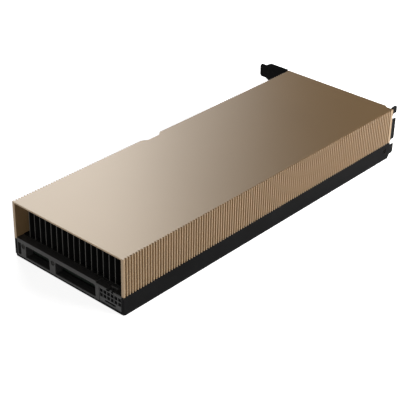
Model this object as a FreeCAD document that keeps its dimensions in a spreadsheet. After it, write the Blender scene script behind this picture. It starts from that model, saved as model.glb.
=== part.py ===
import FreeCAD, Part
import os
import re

import Sketcher

# A dual-slot, full-height accelerator card that is cooled by the air of the server it sits in.
# It lies on its backplate. +X runs from the rear end to the bracket, -Y is the card's long top
# edge, +Y is the side with the edge connector, and +Z points from the backplate to the shroud.
# The origin is the middle of the backplate's underside.

DRIVING_SIZES = {
    # whole card
    "card_length": 267.7,           # rear face to the bracket's inner face
    "card_width": 95.0,             # over the two ribbed walls
    "card_height": 38.4,            # underside of the backplate to the top of the shroud
    "seat_clearance": 0.1,          # gap beside a piece that drops into its seat
    # shroud
    "shroud_wall": 2.0,             # side walls, ribs included
    "shroud_sheet": 1.0,            # top sheet
    "rib_pitch": 2.187,
    "rib_crest": 0.8,               # width of a rib at its crest
    "rib_depth": 0.9,
    "groove_floor": 0.95,           # width of the groove between two ribs, at its floor
    "rib_margin": 1.3,              # plain wall before the first groove
    "lug_length": 6.0,              # screw lugs inside the side walls
    "lug_width": 4.4,
    "lug_height": 4.0,
    "lip_reach": 1.65,              # top sheet's overhang above the bracket
    "lip_gap": 0.1,                 # from the overhang down to the bracket
    "lip_start": 7.0,               # from the card's top edge, clear of the chassis ledge
    # recess in the connector side, where the slot's retention latch swings
    "latch_from_bracket": 147.7,
    "latch_depth": 3.0,
    "latch_floor": 10.6,
    "latch_flank": 3.8,
    "latch_slope": 0.6,             # widening of the recess's wall for each millimetre of its thickness
    # base frame
    "frame_height": 12.5,           # where the shroud's walls stand on the frame
    "frame_wall": 2.0,
    "frame_ledge": 5.0,             # ledge inside the walls that carries the heatsink
    "frame_front_wall": 6.0,        # cross wall behind the bracket
    "ledge_height": 11.4,
    # rear bar
    "rear_bar_depth": 5.8,
    "rear_bar_height": 13.6,
    "rear_bar_header_height": 12.6,
    "bar_step_offset": 0.6,         # from the wide pocket to the step in the bar's top
    "pocket_floor": 2.4,
    "pocket_top": 10.7,
    "pocket_corner": 1.2,
    "wide_pocket_start": 23.7,      # from the card's top edge
    "wide_pocket_end": 58.2,
    "narrow_pocket_start": 63.5,
    "narrow_pocket_end": 10.0,      # from the card's connector side
    "end_slot_start": 5.5,
    "end_slot_end": 2.7,
    "insert_height": 9.2,
    "inner_insert_offset": 60.5,    # from the card's top edge
    "outer_insert_offset": 7.8,     # from the card's connector side
    "insert_bore": 2.5,
    "insert_diameter": 3.4,
    "insert_length": 4.8,
    "insert_setback": 0.5,          # from the mouth of its hole to the insert's end
    "side_insert_from_bracket": 6.0,
    "side_insert_height": 7.6,
    # backplate, film and board
    "backplate_thickness": 1.2,
    "backplate_corner": 1.5,
    "film_thickness": 0.25,
    "film_margin": 3.5,
    "board_underside": 2.67,
    "board_thickness": 1.57,
    "board_rear_gap": 0.4,
    "board_front_gap": 2.3,
    "board_strip": 55.4,            # edge of the strip beside the connector, from the middle line
    "strip_from_bracket": 12.0,
    "connector_edge": 63.65,        # lower edge of the gold fingers
    "short_tab_from_bracket": 44.55,
    "short_tab_length": 11.65,
    "key_notch_width": 1.9,
    "long_tab_length": 71.65,
    "tab_chamfer": 0.8,
    "hook_gap": 3.2,
    "hook_stem": 3.4,
    "hook_foot": 4.6,
    "hook_thickness": 3.0,
    "hook_reach": 6.4,
    "contact_pitch": 1.0,
    "contact_width": 0.7,
    "contact_length": 5.2,
    "contact_thickness": 0.05,
    "contact_setback": 0.7,
    # heatsink
    "fin_count": 17,
    "fin_pitch": 4.96,
    "fin_thickness": 0.6,
    "fin_groove": 0.4,
    "fin_corner": 1.0,
    "fin_top_gap": 0.2,
    "plate_thickness": 2.5,
    "plate_front_gap": 0.2,
    # processor package
    "package_from_bracket": 108.0,
    "package_size": 55.0,
    "package_thickness": 1.5,
    "die_length": 26.0,
    "die_width": 32.0,
    "die_thickness": 0.8,
    "stack_length": 11.0,
    "stack_width": 8.0,
    "stack_gap": 1.0,
    "stiffener_band": 3.0,
    "stiffener_thickness": 0.6,
    "paste_thickness": 0.1,
    "pedestal_size": 44.0,
    "standoff_spacing": 66.0,
    "standoff_diameter": 7.0,
    # retention plate under the board
    "retention_thickness": 1.0,
    "retention_band": 9.0,
    "retention_screw": 3.0,
    "retention_head": 5.6,
    "retention_head_height": 1.2,
    "retention_grip": 4.0,
    "access_gap": 0.5,              # round a retention screw's head, in the backplate and the film
    # parts on the board
    "inductor_count": 7,
    "inductor_pitch": 10.4,
    "inductor_length": 9.0,
    "inductor_width": 8.0,
    "inductor_height": 6.0,
    "stage_length": 6.0,
    "stage_width": 5.0,
    "stage_height": 1.0,
    "stage_gap": 1.6,
    "capacitor_diameter": 6.0,
    "capacitor_height": 5.4,
    "controller_size": 9.0,
    "controller_height": 1.2,
    "supply_row_gap": 9.0,          # package edge to the nearest inductor
    "controller_spacing": 36.0,     # between the two controllers of one side
    # power header in the rear bar
    "header_middle": 11.6,          # from the card's top edge
    "header_width": 18.0,
    "header_top": 10.8,
    "header_length": 12.0,
    "header_setback": 0.3,
    "cell_columns": 6,
    "cell_pitch": 3.0,
    "cell_size": 2.3,
    "cell_depth": 9.0,
    "upper_row_height": 8.95,
    "sense_height": 3.1,
    "sense_slot_width": 8.6,
    "sense_slot_height": 1.1,
    "sense_count": 4,
    "sense_pitch": 2.0,
    "pin_size": 0.8,
    "pin_setback": 1.5,             # cell mouth to the pin's nose
    "pin_tail": 5.0,                # room behind the housing for the bent pins
    "sense_pin_size": 0.5,
    "latch_gap_middle": 11.6,
    "latch_gap_width": 5.6,
    "latch_gap_depth": 4.3,
    "latch_nub_width": 1.6,
    "latch_nub_height": 1.2,
    "latch_nub_length": 2.4,
    # bracket
    "bracket_thickness": 0.86,
    "bracket_length": 120.02,
    "bracket_lift": 0.7,            # lower edge above the card's underside
    "bracket_height": 38.7,
    "bracket_inset": 0.9,           # flange face inside the card's top edge
    "flange_depth": 6.0,
    "flange_lift": 1.4,
    "slot_spacing": 20.32,          # from one expansion slot to the next
    "lower_slot_height": 11.4,
    "notch_width": 4.42,
    "notch_depth": 4.6,
    "tongue_width": 10.19,
    "tongue_length": 5.4,
    "tongue_taper": 4.4,
    "tongue_shoulder": 2.4,
    "tongue_corner": 1.4,
    "flange_corner": 1.2,
    "notch_flat": 0.8,              # straight part of a notch's floor
    "bend_radius": 0.77,            # outside of the fold between the sheet and the flange
    "vent_count": 16,
    "vent_pitch": 5.2,
    "vent_width": 3.6,
    "vent_bottom": 15.0,
    "vent_top": 35.8,
    # screws
    "screw_diameter": 2.5,
    "screw_head": 4.6,
    "screw_head_height": 0.8,
    "screw_clearance": 0.05,
    "screw_line": 4.5,              # from the card's top edge and from its connector side
    "screw_end_gap": 0.4,           # between a long screw's end and the top of its lug
    "outer_screw_station": 104.0,
    "inner_screw_station": 40.0,
    "rear_screw_top": 6.4,
    "bracket_screw_spacing": 35.0,
    "bracket_screw_head_height": 1.3,
    "bracket_screw_length": 4.5,
    "bracket_screw_height": 7.2,
}

OVERSHOOT = "1"         # how far a cutting outline runs past the face that it opens
TOUCH = 1e-4            # lengths closer than this, in millimetres, are the same

document = FreeCAD.newDocument("accelerator_card")
sheet = document.addObject("Spreadsheet::Sheet", "Sizes")
nodes = []


def fill_sheet():
    """Write every driving size into the sheet, one row each, and name its cell."""
    for row, (alias, value) in enumerate(DRIVING_SIZES.items(), start=1):
        sheet.set("A%d" % row, alias)
        sheet.set("B%d" % row, str(value))
        sheet.setAlias("B%d" % row, alias)
    document.recompute()


def bind(expression):
    """Return the expression with each size pointing at its cell in the sheet."""
    def with_sheet(match):
        word = match.group(0)
        return "Sizes." + word if word in DRIVING_SIZES else word
    return re.sub(r"[a-z_]+", with_sheet, expression)


def value(expression):
    """Return what an expression of sizes comes to, in millimetres."""
    return float(sheet.evalExpression(bind(expression)))


# Places that several pieces share, as expressions of the driving sizes.
REAR = "(-card_length / 2)"
FRONT = "(card_length / 2)"
TOP_EDGE = "(-card_width / 2)"
CONNECTOR_SIDE = "(card_width / 2)"
SIDE_INNER = "(card_width / 2 - shroud_wall)"
SCREW_SIDE = "(card_width / 2 - screw_line)"
SEAT_SIDE = "(card_width / 2 - frame_wall - seat_clearance)"
CAVITY_SIDE = "(card_width / 2 - frame_wall - frame_ledge)"
BAR_BACK = "(-card_length / 2 + rear_bar_depth)"
FRONT_WALL = "(card_length / 2 - frame_front_wall)"
BOARD_TOP = "(board_underside + board_thickness)"
PLATE_TOP = "(ledge_height + plate_thickness)"
PLATE_REAR = "(-card_length / 2 + rear_bar_depth + seat_clearance)"
PLATE_FRONT = "(card_length / 2 - frame_front_wall - plate_front_gap)"
LATCH_MIDDLE = "(card_length / 2 - latch_from_bracket)"
PACKAGE_MIDDLE = "(card_length / 2 - package_from_bracket)"
DIE_TOP = "(board_underside + board_thickness + package_thickness + die_thickness)"
HEADER_REAR = "(-card_length / 2 + header_setback)"
HEADER_FRONT = "(-card_length / 2 + header_setback + header_length)"
HEADER_SIDE = "(-card_width / 2 + header_middle + header_width / 2 + seat_clearance)"
WINDOW_TOP = "(header_top + seat_clearance)"
BRACKET_SIDE = "(-card_width / 2 + bracket_inset)"


def new_body(label):
    """Start a part design body for one piece and put it on the list of nodes."""
    body = document.addObject("PartDesign::Body", label)
    body.Label = label
    nodes.append(body)
    return body


def new_sketch(body, plane_role, name, offset="0"):
    """Add a sketch parallel to one of the body's own planes, moved along that plane's normal."""
    sketch = body.newObject("Sketcher::SketchObject", name)
    plane = next(item for item in body.Origin.OriginFeatures if item.Role == plane_role)
    sketch.AttachmentSupport = [(plane, "")]
    sketch.MapMode = "FlatFace"
    sketch.AttachmentOffset = FreeCAD.Placement(
        FreeCAD.Vector(0, 0, value(offset)), FreeCAD.Rotation())
    sketch.setExpression("AttachmentOffset.Base.z", bind(offset))
    return sketch


def hold_point(sketch, geometry, corner, across, along):
    """Tie one point of the sketch to the origin by two bound distances."""
    for kind, expression in (("DistanceX", across), ("DistanceY", along)):
        index = sketch.addConstraint(
            Sketcher.Constraint(kind, -1, 1, geometry, corner, value(expression)))
        sketch.setExpression("Constraints[%d]" % index, bind(expression))


def draw_outline(sketch, points):
    """Draw a closed outline of straight lines through the points, each point bound."""
    places = [FreeCAD.Vector(value(across), value(along), 0) for across, along in points]
    lines = []
    for start, end in zip(places, places[1:] + places[:1]):
        lines.append(sketch.addGeometry(Part.LineSegment(start, end), False))
    for line, following in zip(lines, lines[1:] + lines[:1]):
        sketch.addConstraint(Sketcher.Constraint("Coincident", line, 2, following, 1))
    for line, (across, along) in zip(lines, points):
        hold_point(sketch, line, 1, across, along)


def draw_rectangle(sketch, left, right, low, high):
    """Draw a rectangle between two bound corners."""
    draw_outline(sketch, [(left, low), (right, low), (right, high), (left, high)])


def draw_circle(sketch, across, along, radius):
    """Draw a circle with a bound centre and radius."""
    centre = FreeCAD.Vector(value(across), value(along), 0)
    circle = Part.Circle(centre, FreeCAD.Vector(0, 0, 1), value(radius))
    geometry = sketch.addGeometry(circle, False)
    hold_point(sketch, geometry, 3, across, along)
    index = sketch.addConstraint(Sketcher.Constraint("Radius", geometry, value(radius)))
    sketch.setExpression("Constraints[%d]" % index, bind(radius))


def add_pad(body, sketch, length, name):
    """Pad a sketch along its plane's normal."""
    pad = body.newObject("PartDesign::Pad", name)
    pad.Profile = sketch
    pad.setExpression("Length", bind(length))
    document.recompute()
    return pad


def add_pocket(body, sketch, length, name):
    """Cut a sketch along its plane's normal and make sure that it removed something."""
    before = body.Shape.Volume
    pocket = body.newObject("PartDesign::Pocket", name)
    pocket.Profile = sketch
    pocket.Reversed = True
    pocket.setExpression("Length", bind(length))
    document.recompute()
    if not body.Shape.Volume < before:
        raise RuntimeError("%s cuts nothing" % name)
    return pocket


def add_pattern(body, feature, axis_role, spacing, count, name):
    """Repeat a feature along one of the body's own axes and make the pattern the body's tip."""
    pattern = document.addObject("PartDesign::LinearPattern", name)
    body.addObject(pattern)
    axis = next(item for item in body.Origin.OriginFeatures if item.Role == axis_role)
    pattern.Originals = [feature]
    pattern.Direction = (axis, [""])
    pattern.setExpression("Occurrences", bind(count))
    pattern.setExpression("Length", bind("(%s) * ((%s) - 1)" % (spacing, count)))
    body.Tip = pattern
    document.recompute()
    return pattern


def add_fillet(body, base, radius, wanted, name):
    """Round the edges of the last feature that the test picks out."""
    picked = [
        "Edge%d" % (number + 1)
        for number, edge in enumerate(base.Shape.Edges)
        if wanted(edge)
    ]
    fillet = body.newObject("PartDesign::Fillet", name)
    fillet.Base = (base, picked)
    fillet.setExpression("Radius", bind(radius))
    document.recompute()
    return fillet


def runs_along(edge, axis):
    """Tell whether a straight edge runs along the given axis."""
    if edge.Curve.TypeId != "Part::GeomLine":
        return False
    run = edge.Vertexes[1].Point - edge.Vertexes[0].Point
    return near(abs(run.normalize().dot(axis)), 1)


def near(first, second):
    """Tell whether two lengths are the same within a small share of a millimetre."""
    return abs(first - second) < TOUCH


def place(item, across, along, up):
    """Bind the base of an object's placement."""
    item.setExpression("Placement.Base.x", bind(across))
    item.setExpression("Placement.Base.y", bind(along))
    item.setExpression("Placement.Base.z", bind(up))


def add_block(name, across, along, up, length, width, height):
    """Make a bound block from its lowest corner and its three sizes."""
    block = document.addObject("Part::Box", name)
    block.setExpression("Length", bind(length))
    block.setExpression("Width", bind(width))
    block.setExpression("Height", bind(height))
    place(block, across, along, up)
    return block


def add_rod(name, across, along, up, radius, height):
    """Make a bound upright cylinder from the middle of its foot."""
    rod = document.addObject("Part::Cylinder", name)
    rod.setExpression("Radius", bind(radius))
    rod.setExpression("Height", bind(height))
    place(rod, across, along, up)
    return rod


def turn_to_x(item):
    """Lay an upright object down so that it points along +X."""
    item.Placement.Rotation = FreeCAD.Rotation(FreeCAD.Vector(0, 1, 0), 90)


def join(name, *members):
    """Fuse members into one solid."""
    fusion = document.addObject("Part::MultiFuse", name)
    fusion.Shapes = list(members)
    return fusion


def subtract(name, base, tool):
    """Cut one object from another."""
    cut = document.addObject("Part::Cut", name)
    cut.Base = base
    cut.Tool = tool
    return cut


def keep(item, label):
    """Put a finished piece on the list of nodes under its own label."""
    item.Label = label
    nodes.append(item)
    return item


def keep_group(label, members):
    """Put several like solids on the list of nodes as one group."""
    group = document.addObject("Part::Compound", label)
    group.Links = members
    return keep(group, label)


def latch_outline(grow, outside):
    """Return the latch recess in plan, grown inwards, open past the connector side."""
    side = "(card_width / 2 + %s)" % outside
    floor_side = "(card_width / 2 - latch_depth - %s)" % grow
    half_floor = "(latch_floor / 2 + %s * latch_slope)" % grow
    half_mouth = "(%s + latch_flank * (1 + %s / latch_depth))" % (half_floor, outside)
    return [
        ("%s - %s" % (LATCH_MIDDLE, half_mouth), side),
        ("%s - %s" % (LATCH_MIDDLE, half_floor), floor_side),
        ("%s + %s" % (LATCH_MIDDLE, half_floor), floor_side),
        ("%s + %s" % (LATCH_MIDDLE, half_mouth), side),
    ]


def screw_stations(sides=(-1, 1)):
    """Return the plan places of the long screws on the given sides of the card's middle line."""
    stations = (
        "-outer_screw_station",
        "-inner_screw_station",
        "inner_screw_station",
        "outer_screw_station",
    )
    return [(station, "%d * %s" % (side, SCREW_SIDE)) for side in sides for station in stations]


def rear_insert_lines():
    """Return how far along the rear bar its two threaded inserts stand."""
    return (
        "(%s + inner_insert_offset)" % TOP_EDGE,
        "(%s - outer_insert_offset)" % CONNECTOR_SIDE,
    )


def bar_screw_places():
    """Return the plan places of the two short screws under the rear bar."""
    middle = "(%s + rear_bar_depth / 2)" % REAR
    return [(middle, line) for line in rear_insert_lines()]


def standoff_places():
    """Return the plan places of the four heatsink standoffs round the processor."""
    signs = ((-1, -1), (1, -1), (1, 1), (-1, 1))
    return [
        ("%s + %d * standoff_spacing / 2" % (PACKAGE_MIDDLE, across), "%d * standoff_spacing / 2" % along)
        for across, along in signs
    ]


def build_shroud():
    """The ribbed cover: a flat sheet with two side walls, grooved from top to bottom."""
    body = new_body("shroud")
    profile = new_sketch(body, "YZ_Plane", "shroud_profile", REAR)
    draw_outline(profile, [
        ("-card_width / 2", "frame_height"),
        ("-card_width / 2", "card_height"),
        ("card_width / 2", "card_height"),
        ("card_width / 2", "frame_height"),
        (SIDE_INNER, "frame_height"),
        (SIDE_INNER, "card_height - shroud_sheet"),
        ("-" + SIDE_INNER, "card_height - shroud_sheet"),
        ("-" + SIDE_INNER, "frame_height"),
    ])
    add_pad(body, profile, "card_length", "shroud_walls")

    inner_wall = new_sketch(body, "XY_Plane", "latch_wall_plan", "frame_height")
    draw_outline(inner_wall, latch_outline("shroud_wall", "0"))
    add_pad(body, inner_wall, "card_height - frame_height", "latch_wall")
    recess = new_sketch(body, "XY_Plane", "latch_recess_plan", "frame_height")
    draw_outline(recess, latch_outline("0", OVERSHOOT))
    add_pocket(body, recess, "card_height - frame_height", "latch_recess")

    lugs = new_sketch(body, "XY_Plane", "lug_plan", PLATE_TOP)
    spans = {
        -1: ("-" + SIDE_INNER, "-(%s - lug_width)" % SIDE_INNER),
        1: ("%s - lug_width" % SIDE_INNER, SIDE_INNER),
    }
    for side, (low, high) in spans.items():
        for station, _ in screw_stations([side]):
            draw_rectangle(lugs, station + " - lug_length / 2", station + " + lug_length / 2",
                           low, high)
    add_pad(body, lugs, "lug_height", "screw_lugs")
    holes = new_sketch(body, "XY_Plane", "lug_hole_plan", PLATE_TOP)
    for station, line in screw_stations():
        draw_circle(holes, station, line, "screw_diameter / 2 + screw_clearance")
    add_pocket(body, holes, "lug_height", "lug_holes")

    groove = new_sketch(body, "XY_Plane", "groove_plan", "frame_height")
    start = "(%s + rib_margin)" % REAR
    mouth = "(rib_pitch - rib_crest)"
    slant = "((rib_pitch - rib_crest - groove_floor) / 2)"
    for side in ("-1", "1"):
        outside = "%s * (card_width / 2 + rib_depth)" % side
        inside = "%s * (card_width / 2 - rib_depth)" % side
        draw_outline(groove, [
            ("%s - %s" % (start, slant), outside),
            ("%s + %s" % (start, slant), inside),
            ("%s + %s + groove_floor" % (start, slant), inside),
            ("%s + %s + %s" % (start, mouth, slant), outside),
        ])
    first = add_pocket(body, groove, "card_height - frame_height", "first_groove")
    count = "floor((card_length - 2 * rib_margin + rib_crest) / rib_pitch)"
    add_pattern(body, first, "X_Axis", "rib_pitch", count, "rib_grooves")

    lip = new_sketch(body, "XY_Plane", "lip_plan", "card_height - shroud_sheet")
    draw_rectangle(lip, FRONT, "%s + lip_reach" % FRONT, "%s + lip_start" % TOP_EDGE,
                   CONNECTOR_SIDE)
    add_pad(body, lip, "shroud_sheet", "bracket_lip")


def build_base_frame():
    """The frame: side walls with a ledge for the heatsink, and a cross wall for the bracket."""
    body = new_body("base_frame")
    plan = new_sketch(body, "XY_Plane", "frame_plan", "backplate_thickness")
    draw_rectangle(plan, REAR, FRONT, "-card_width / 2", "card_width / 2")
    add_pad(body, plan, "frame_height - backplate_thickness", "frame_block")

    seat = new_sketch(body, "XY_Plane", "plate_seat_plan", "ledge_height")
    draw_rectangle(seat, "%s - %s" % (REAR, OVERSHOOT), FRONT_WALL, "-(%s + seat_clearance)" % SEAT_SIDE,
                   "%s + seat_clearance" % SEAT_SIDE)
    add_pocket(body, seat, "card_height", "plate_seat")
    cavity = new_sketch(body, "XY_Plane", "cavity_plan", BOARD_TOP)
    draw_rectangle(cavity, "%s - %s" % (REAR, OVERSHOOT), FRONT_WALL, "-" + CAVITY_SIDE, CAVITY_SIDE)
    add_pocket(body, cavity, "card_height", "component_cavity")
    bar_seat = new_sketch(body, "XY_Plane", "bar_seat_plan", "0")
    draw_rectangle(bar_seat, "%s - %s" % (REAR, OVERSHOOT), BAR_BACK, "-(%s + seat_clearance)" % SEAT_SIDE,
                   "%s + seat_clearance" % SEAT_SIDE)
    add_pocket(body, bar_seat, "card_height", "bar_seat")
    board_seat = new_sketch(body, "XY_Plane", "board_seat_plan", "0")
    draw_rectangle(board_seat, "%s - %s" % (REAR, OVERSHOOT), "%s - frame_wall" % FRONT,
                   "-(%s + seat_clearance)" % SEAT_SIDE, "%s + seat_clearance" % SEAT_SIDE)
    add_pocket(body, board_seat, BOARD_TOP, "board_seat")
    header_gap = new_sketch(body, "XY_Plane", "header_gap_plan", "0")
    draw_rectangle(header_gap, "%s - %s" % (BAR_BACK, OVERSHOOT), "%s + pin_tail" % HEADER_FRONT,
                   "-(%s + seat_clearance)" % SEAT_SIDE, HEADER_SIDE)
    add_pocket(body, header_gap, WINDOW_TOP, "header_gap")
    strip_gap = new_sketch(body, "XY_Plane", "strip_gap_plan", "0")
    draw_rectangle(strip_gap, "%s - latch_floor / 2 - latch_flank" % LATCH_MIDDLE,
                   "%s - strip_from_bracket + seat_clearance" % FRONT, "card_width / 4", "card_width")
    add_pocket(body, strip_gap, BOARD_TOP, "strip_gap")

    latch_wall = new_sketch(body, "XY_Plane", "frame_latch_wall_plan", "ledge_height")
    draw_outline(latch_wall, latch_outline("frame_wall", "0"))
    add_pad(body, latch_wall, "frame_height - ledge_height", "frame_latch_wall")
    latch = new_sketch(body, "XY_Plane", "frame_latch_plan", "0")
    draw_outline(latch, latch_outline("0", OVERSHOOT))
    add_pocket(body, latch, "card_height", "frame_latch")

    holes = new_sketch(body, "XY_Plane", "frame_hole_plan", "0")
    for station, line in screw_stations():
        draw_circle(holes, station, line, "screw_diameter / 2 + screw_clearance")
    add_pocket(body, holes, "card_height", "frame_holes")
    bracket_holes = new_sketch(body, "YZ_Plane", "frame_bracket_hole_plan", FRONT_WALL)
    for step in (-1, 0, 1):
        draw_circle(bracket_holes, "%d * bracket_screw_spacing" % step, "bracket_screw_height",
                    "screw_diameter / 2 + screw_clearance")
    add_pocket(body, bracket_holes, "frame_front_wall", "frame_bracket_holes")
    hole_depth = "insert_setback + insert_length"
    insert_hole = new_sketch(body, "XZ_Plane", "side_insert_plan",
                             "-(%s + %s)" % (TOP_EDGE, hole_depth))
    draw_circle(insert_hole, "%s - side_insert_from_bracket" % FRONT, "side_insert_height",
                "insert_diameter / 2")
    add_pocket(body, insert_hole, hole_depth, "side_insert_hole")


def build_rear_bar():
    """The rear face: a bar with two pockets, an end slot and a window for the power header."""
    body = new_body("rear_bar")
    face = new_sketch(body, "YZ_Plane", "bar_face", REAR)
    step_side = "(%s + wide_pocket_start - bar_step_offset)" % TOP_EDGE
    gap_low = "(%s + latch_gap_middle - latch_gap_width / 2)" % TOP_EDGE
    gap_high = "(%s + latch_gap_middle + latch_gap_width / 2)" % TOP_EDGE
    side = "(%s + seat_clearance)" % SEAT_SIDE
    draw_outline(face, [
        (HEADER_SIDE, "backplate_thickness"),
        (side, "backplate_thickness"),
        (side, "rear_bar_height"),
        (step_side, "rear_bar_height"),
        (step_side, "rear_bar_header_height"),
        ("-" + side, "rear_bar_header_height"),
        ("-" + side, WINDOW_TOP),
        (HEADER_SIDE, WINDOW_TOP),
    ])
    add_pad(body, face, "rear_bar_depth", "bar_block")

    gap = new_sketch(body, "YZ_Plane", "latch_gap_face", REAR)
    draw_rectangle(gap, gap_low, gap_high, "header_top", "rear_bar_height")
    add_pocket(body, gap, "latch_gap_depth", "latch_gap")
    pockets = new_sketch(body, "YZ_Plane", "pocket_faces", REAR)
    slot_start = "%s - end_slot_start" % CONNECTOR_SIDE
    spans = (
        ("%s + wide_pocket_start" % TOP_EDGE, "%s + wide_pocket_end" % TOP_EDGE),
        ("%s + narrow_pocket_start" % TOP_EDGE, "%s - narrow_pocket_end" % CONNECTOR_SIDE),
        (slot_start, "%s - end_slot_end" % CONNECTOR_SIDE),
    )
    for start, end in spans:
        draw_rectangle(pockets, start, end, "pocket_floor", "pocket_top")
    cut = add_pocket(body, pockets, "rear_bar_depth", "pockets")
    along_x = FreeCAD.Vector(1, 0, 0)
    top = value("pocket_top")
    last_side = value(slot_start) - TOUCH
    depth = value("rear_bar_depth")
    add_fillet(
        body, cut, "pocket_corner",
        lambda edge: runs_along(edge, along_x) and near(edge.Vertexes[0].Z, top)
        and edge.Vertexes[0].Y < last_side and near(edge.Length, depth),
        "pocket_corners")

    bores = new_sketch(body, "YZ_Plane", "insert_faces", REAR)
    for line in rear_insert_lines():
        draw_circle(bores, line, "insert_height", "insert_diameter / 2")
    add_pocket(body, bores, "insert_setback + insert_length", "insert_bores")
    screws = new_sketch(body, "XY_Plane", "bar_screw_plan", "0")
    for across, along in bar_screw_places():
        draw_circle(screws, across, along, "screw_diameter / 2 + screw_clearance")
    add_pocket(body, screws, "rear_screw_top + screw_clearance", "bar_screw_holes")


def build_backplate():
    """The flat cover under the board, with counterbored screw holes."""
    body = new_body("backplate")
    plan = new_sketch(body, "XY_Plane", "backplate_plan")
    draw_rectangle(plan, REAR, FRONT, "-card_width / 2", "card_width / 2")
    pad = add_pad(body, plan, "backplate_thickness", "backplate_sheet")
    up = FreeCAD.Vector(0, 0, 1)
    add_fillet(body, pad, "backplate_corner", lambda edge: runs_along(edge, up), "backplate_corners")
    latch = new_sketch(body, "XY_Plane", "backplate_latch_plan")
    draw_outline(latch, latch_outline("0", OVERSHOOT))
    add_pocket(body, latch, "backplate_thickness", "backplate_latch")
    places = screw_stations() + bar_screw_places()
    heads = new_sketch(body, "XY_Plane", "backplate_head_plan")
    for across, along in places:
        draw_circle(heads, across, along, "screw_head / 2 + screw_clearance")
    add_pocket(body, heads, "screw_head_height", "head_seats")
    shanks = new_sketch(body, "XY_Plane", "backplate_shank_plan")
    for across, along in places:
        draw_circle(shanks, across, along, "screw_diameter / 2 + screw_clearance")
    add_pocket(body, shanks, "backplate_thickness", "shank_holes")
    access = new_sketch(body, "XY_Plane", "access_plan")
    for across, along in standoff_places():
        draw_circle(access, across, along, "retention_head / 2 + access_gap")
    add_pocket(body, access, "backplate_thickness", "access_holes")


def build_insulating_film():
    """The thin film between the backplate and the board's soldered side."""
    body = new_body("insulating_film")
    plan = new_sketch(body, "XY_Plane", "film_plan", "backplate_thickness")
    draw_rectangle(plan, "%s + board_rear_gap + header_length" % BAR_BACK,
                   "%s - frame_wall - film_margin" % FRONT, "-(%s - film_margin)" % SCREW_SIDE,
                   "%s - film_margin" % SCREW_SIDE)
    add_pad(body, plan, "film_thickness", "film")
    access = new_sketch(body, "XY_Plane", "film_access_plan", "backplate_thickness")
    for across, along in standoff_places():
        draw_circle(access, across, along, "retention_head / 2 + access_gap")
    add_pocket(body, access, "film_thickness", "film_access")


def board_outline():
    """Return the board's plan: the body, the connector strip, the tab, its key and its hook."""
    side = "(%s - seat_clearance)" % SEAT_SIDE
    rear = "(%s + board_rear_gap)" % BAR_BACK
    front = "(%s - board_front_gap)" % FRONT
    header_front = "(%s + seat_clearance)" % HEADER_FRONT
    strip_start = "(%s - strip_from_bracket)" % FRONT
    short_start = "(%s - short_tab_from_bracket)" % FRONT
    short_end = "(%s - short_tab_length)" % short_start
    long_start = "(%s - key_notch_width)" % short_end
    long_end = "(%s - long_tab_length)" % long_start
    hook_start = "(%s - hook_gap)" % long_end
    hook_end = "(%s - hook_stem)" % hook_start
    foot_end = "(%s - hook_foot)" % hook_end
    strip_end = "(%s - latch_floor / 2 - latch_flank + seat_clearance)" % LATCH_MIDDLE
    strip_slope = "(board_strip - card_width / 2 + frame_wall)"
    return [
        (header_front, "-" + side),
        (front, "-" + side),
        (front, side),
        (strip_start, side),
        (strip_start, "board_strip"),
        (short_start, "board_strip"),
        (short_start, "connector_edge - tab_chamfer"),
        ("%s - tab_chamfer" % short_start, "connector_edge"),
        ("%s + tab_chamfer" % short_end, "connector_edge"),
        (short_end, "connector_edge - tab_chamfer"),
        (short_end, "board_strip"),
        (long_start, "board_strip"),
        (long_start, "connector_edge - tab_chamfer"),
        ("%s - tab_chamfer" % long_start, "connector_edge"),
        ("%s + tab_chamfer" % long_end, "connector_edge"),
        (long_end, "connector_edge - tab_chamfer"),
        (long_end, "board_strip"),
        (hook_start, "board_strip"),
        (hook_start, "board_strip + hook_reach"),
        (foot_end, "board_strip + hook_reach"),
        (foot_end, "board_strip + hook_reach - hook_thickness"),
        (hook_end, "board_strip + hook_reach - hook_thickness"),
        (hook_end, "board_strip"),
        ("%s + %s / 2" % (strip_end, strip_slope), "board_strip"),
        (strip_end, side),
        (rear, side),
        (rear, "%s + seat_clearance" % HEADER_SIDE),
        (header_front, "%s + seat_clearance" % HEADER_SIDE),
    ]


def build_circuit_board():
    """The board, with its edge tab, retention hook and screw holes."""
    body = new_body("circuit_board")
    plan = new_sketch(body, "XY_Plane", "board_plan", "board_underside")
    draw_outline(plan, board_outline())
    add_pad(body, plan, "board_thickness", "board_sheet")
    holes = new_sketch(body, "XY_Plane", "board_hole_plan", "board_underside")
    for across, along in screw_stations():
        draw_circle(holes, across, along, "screw_diameter / 2 + 2 * screw_clearance")
    for across, along in standoff_places():
        draw_circle(holes, across, along, "retention_screw / 2 + 2 * screw_clearance")
    add_pocket(body, holes, "board_thickness", "board_holes")


def build_edge_contacts():
    """The gold fingers on both faces of the tab, one plate for each contact."""
    pitch = value("contact_pitch")
    width = value("contact_width")
    length = value("contact_length")
    thickness = value("contact_thickness")
    outer_edge = value("connector_edge - contact_setback")
    faces = (value("board_underside") - thickness, value(BOARD_TOP))
    short_start = value("%s - short_tab_from_bracket" % FRONT)
    long_start = short_start - value("short_tab_length + key_notch_width")
    tabs = (
        (short_start, value("short_tab_length")),
        (long_start, value("long_tab_length")),
    )
    plates = []
    for start, tab_length in tabs:
        count = int((tab_length - width) / pitch)
        margin = (tab_length - (count - 1) * pitch) / 2
        for number in range(count):
            middle = start - margin - number * pitch
            for low in faces:
                corner = FreeCAD.Vector(middle - width / 2, outer_edge - length, low)
                plates.append(Part.makeBox(width, length, thickness, corner))
    contacts = document.addObject("Part::Feature", "edge_contacts")
    contacts.Shape = Part.makeCompound(plates)
    keep(contacts, "edge_contacts")


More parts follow.
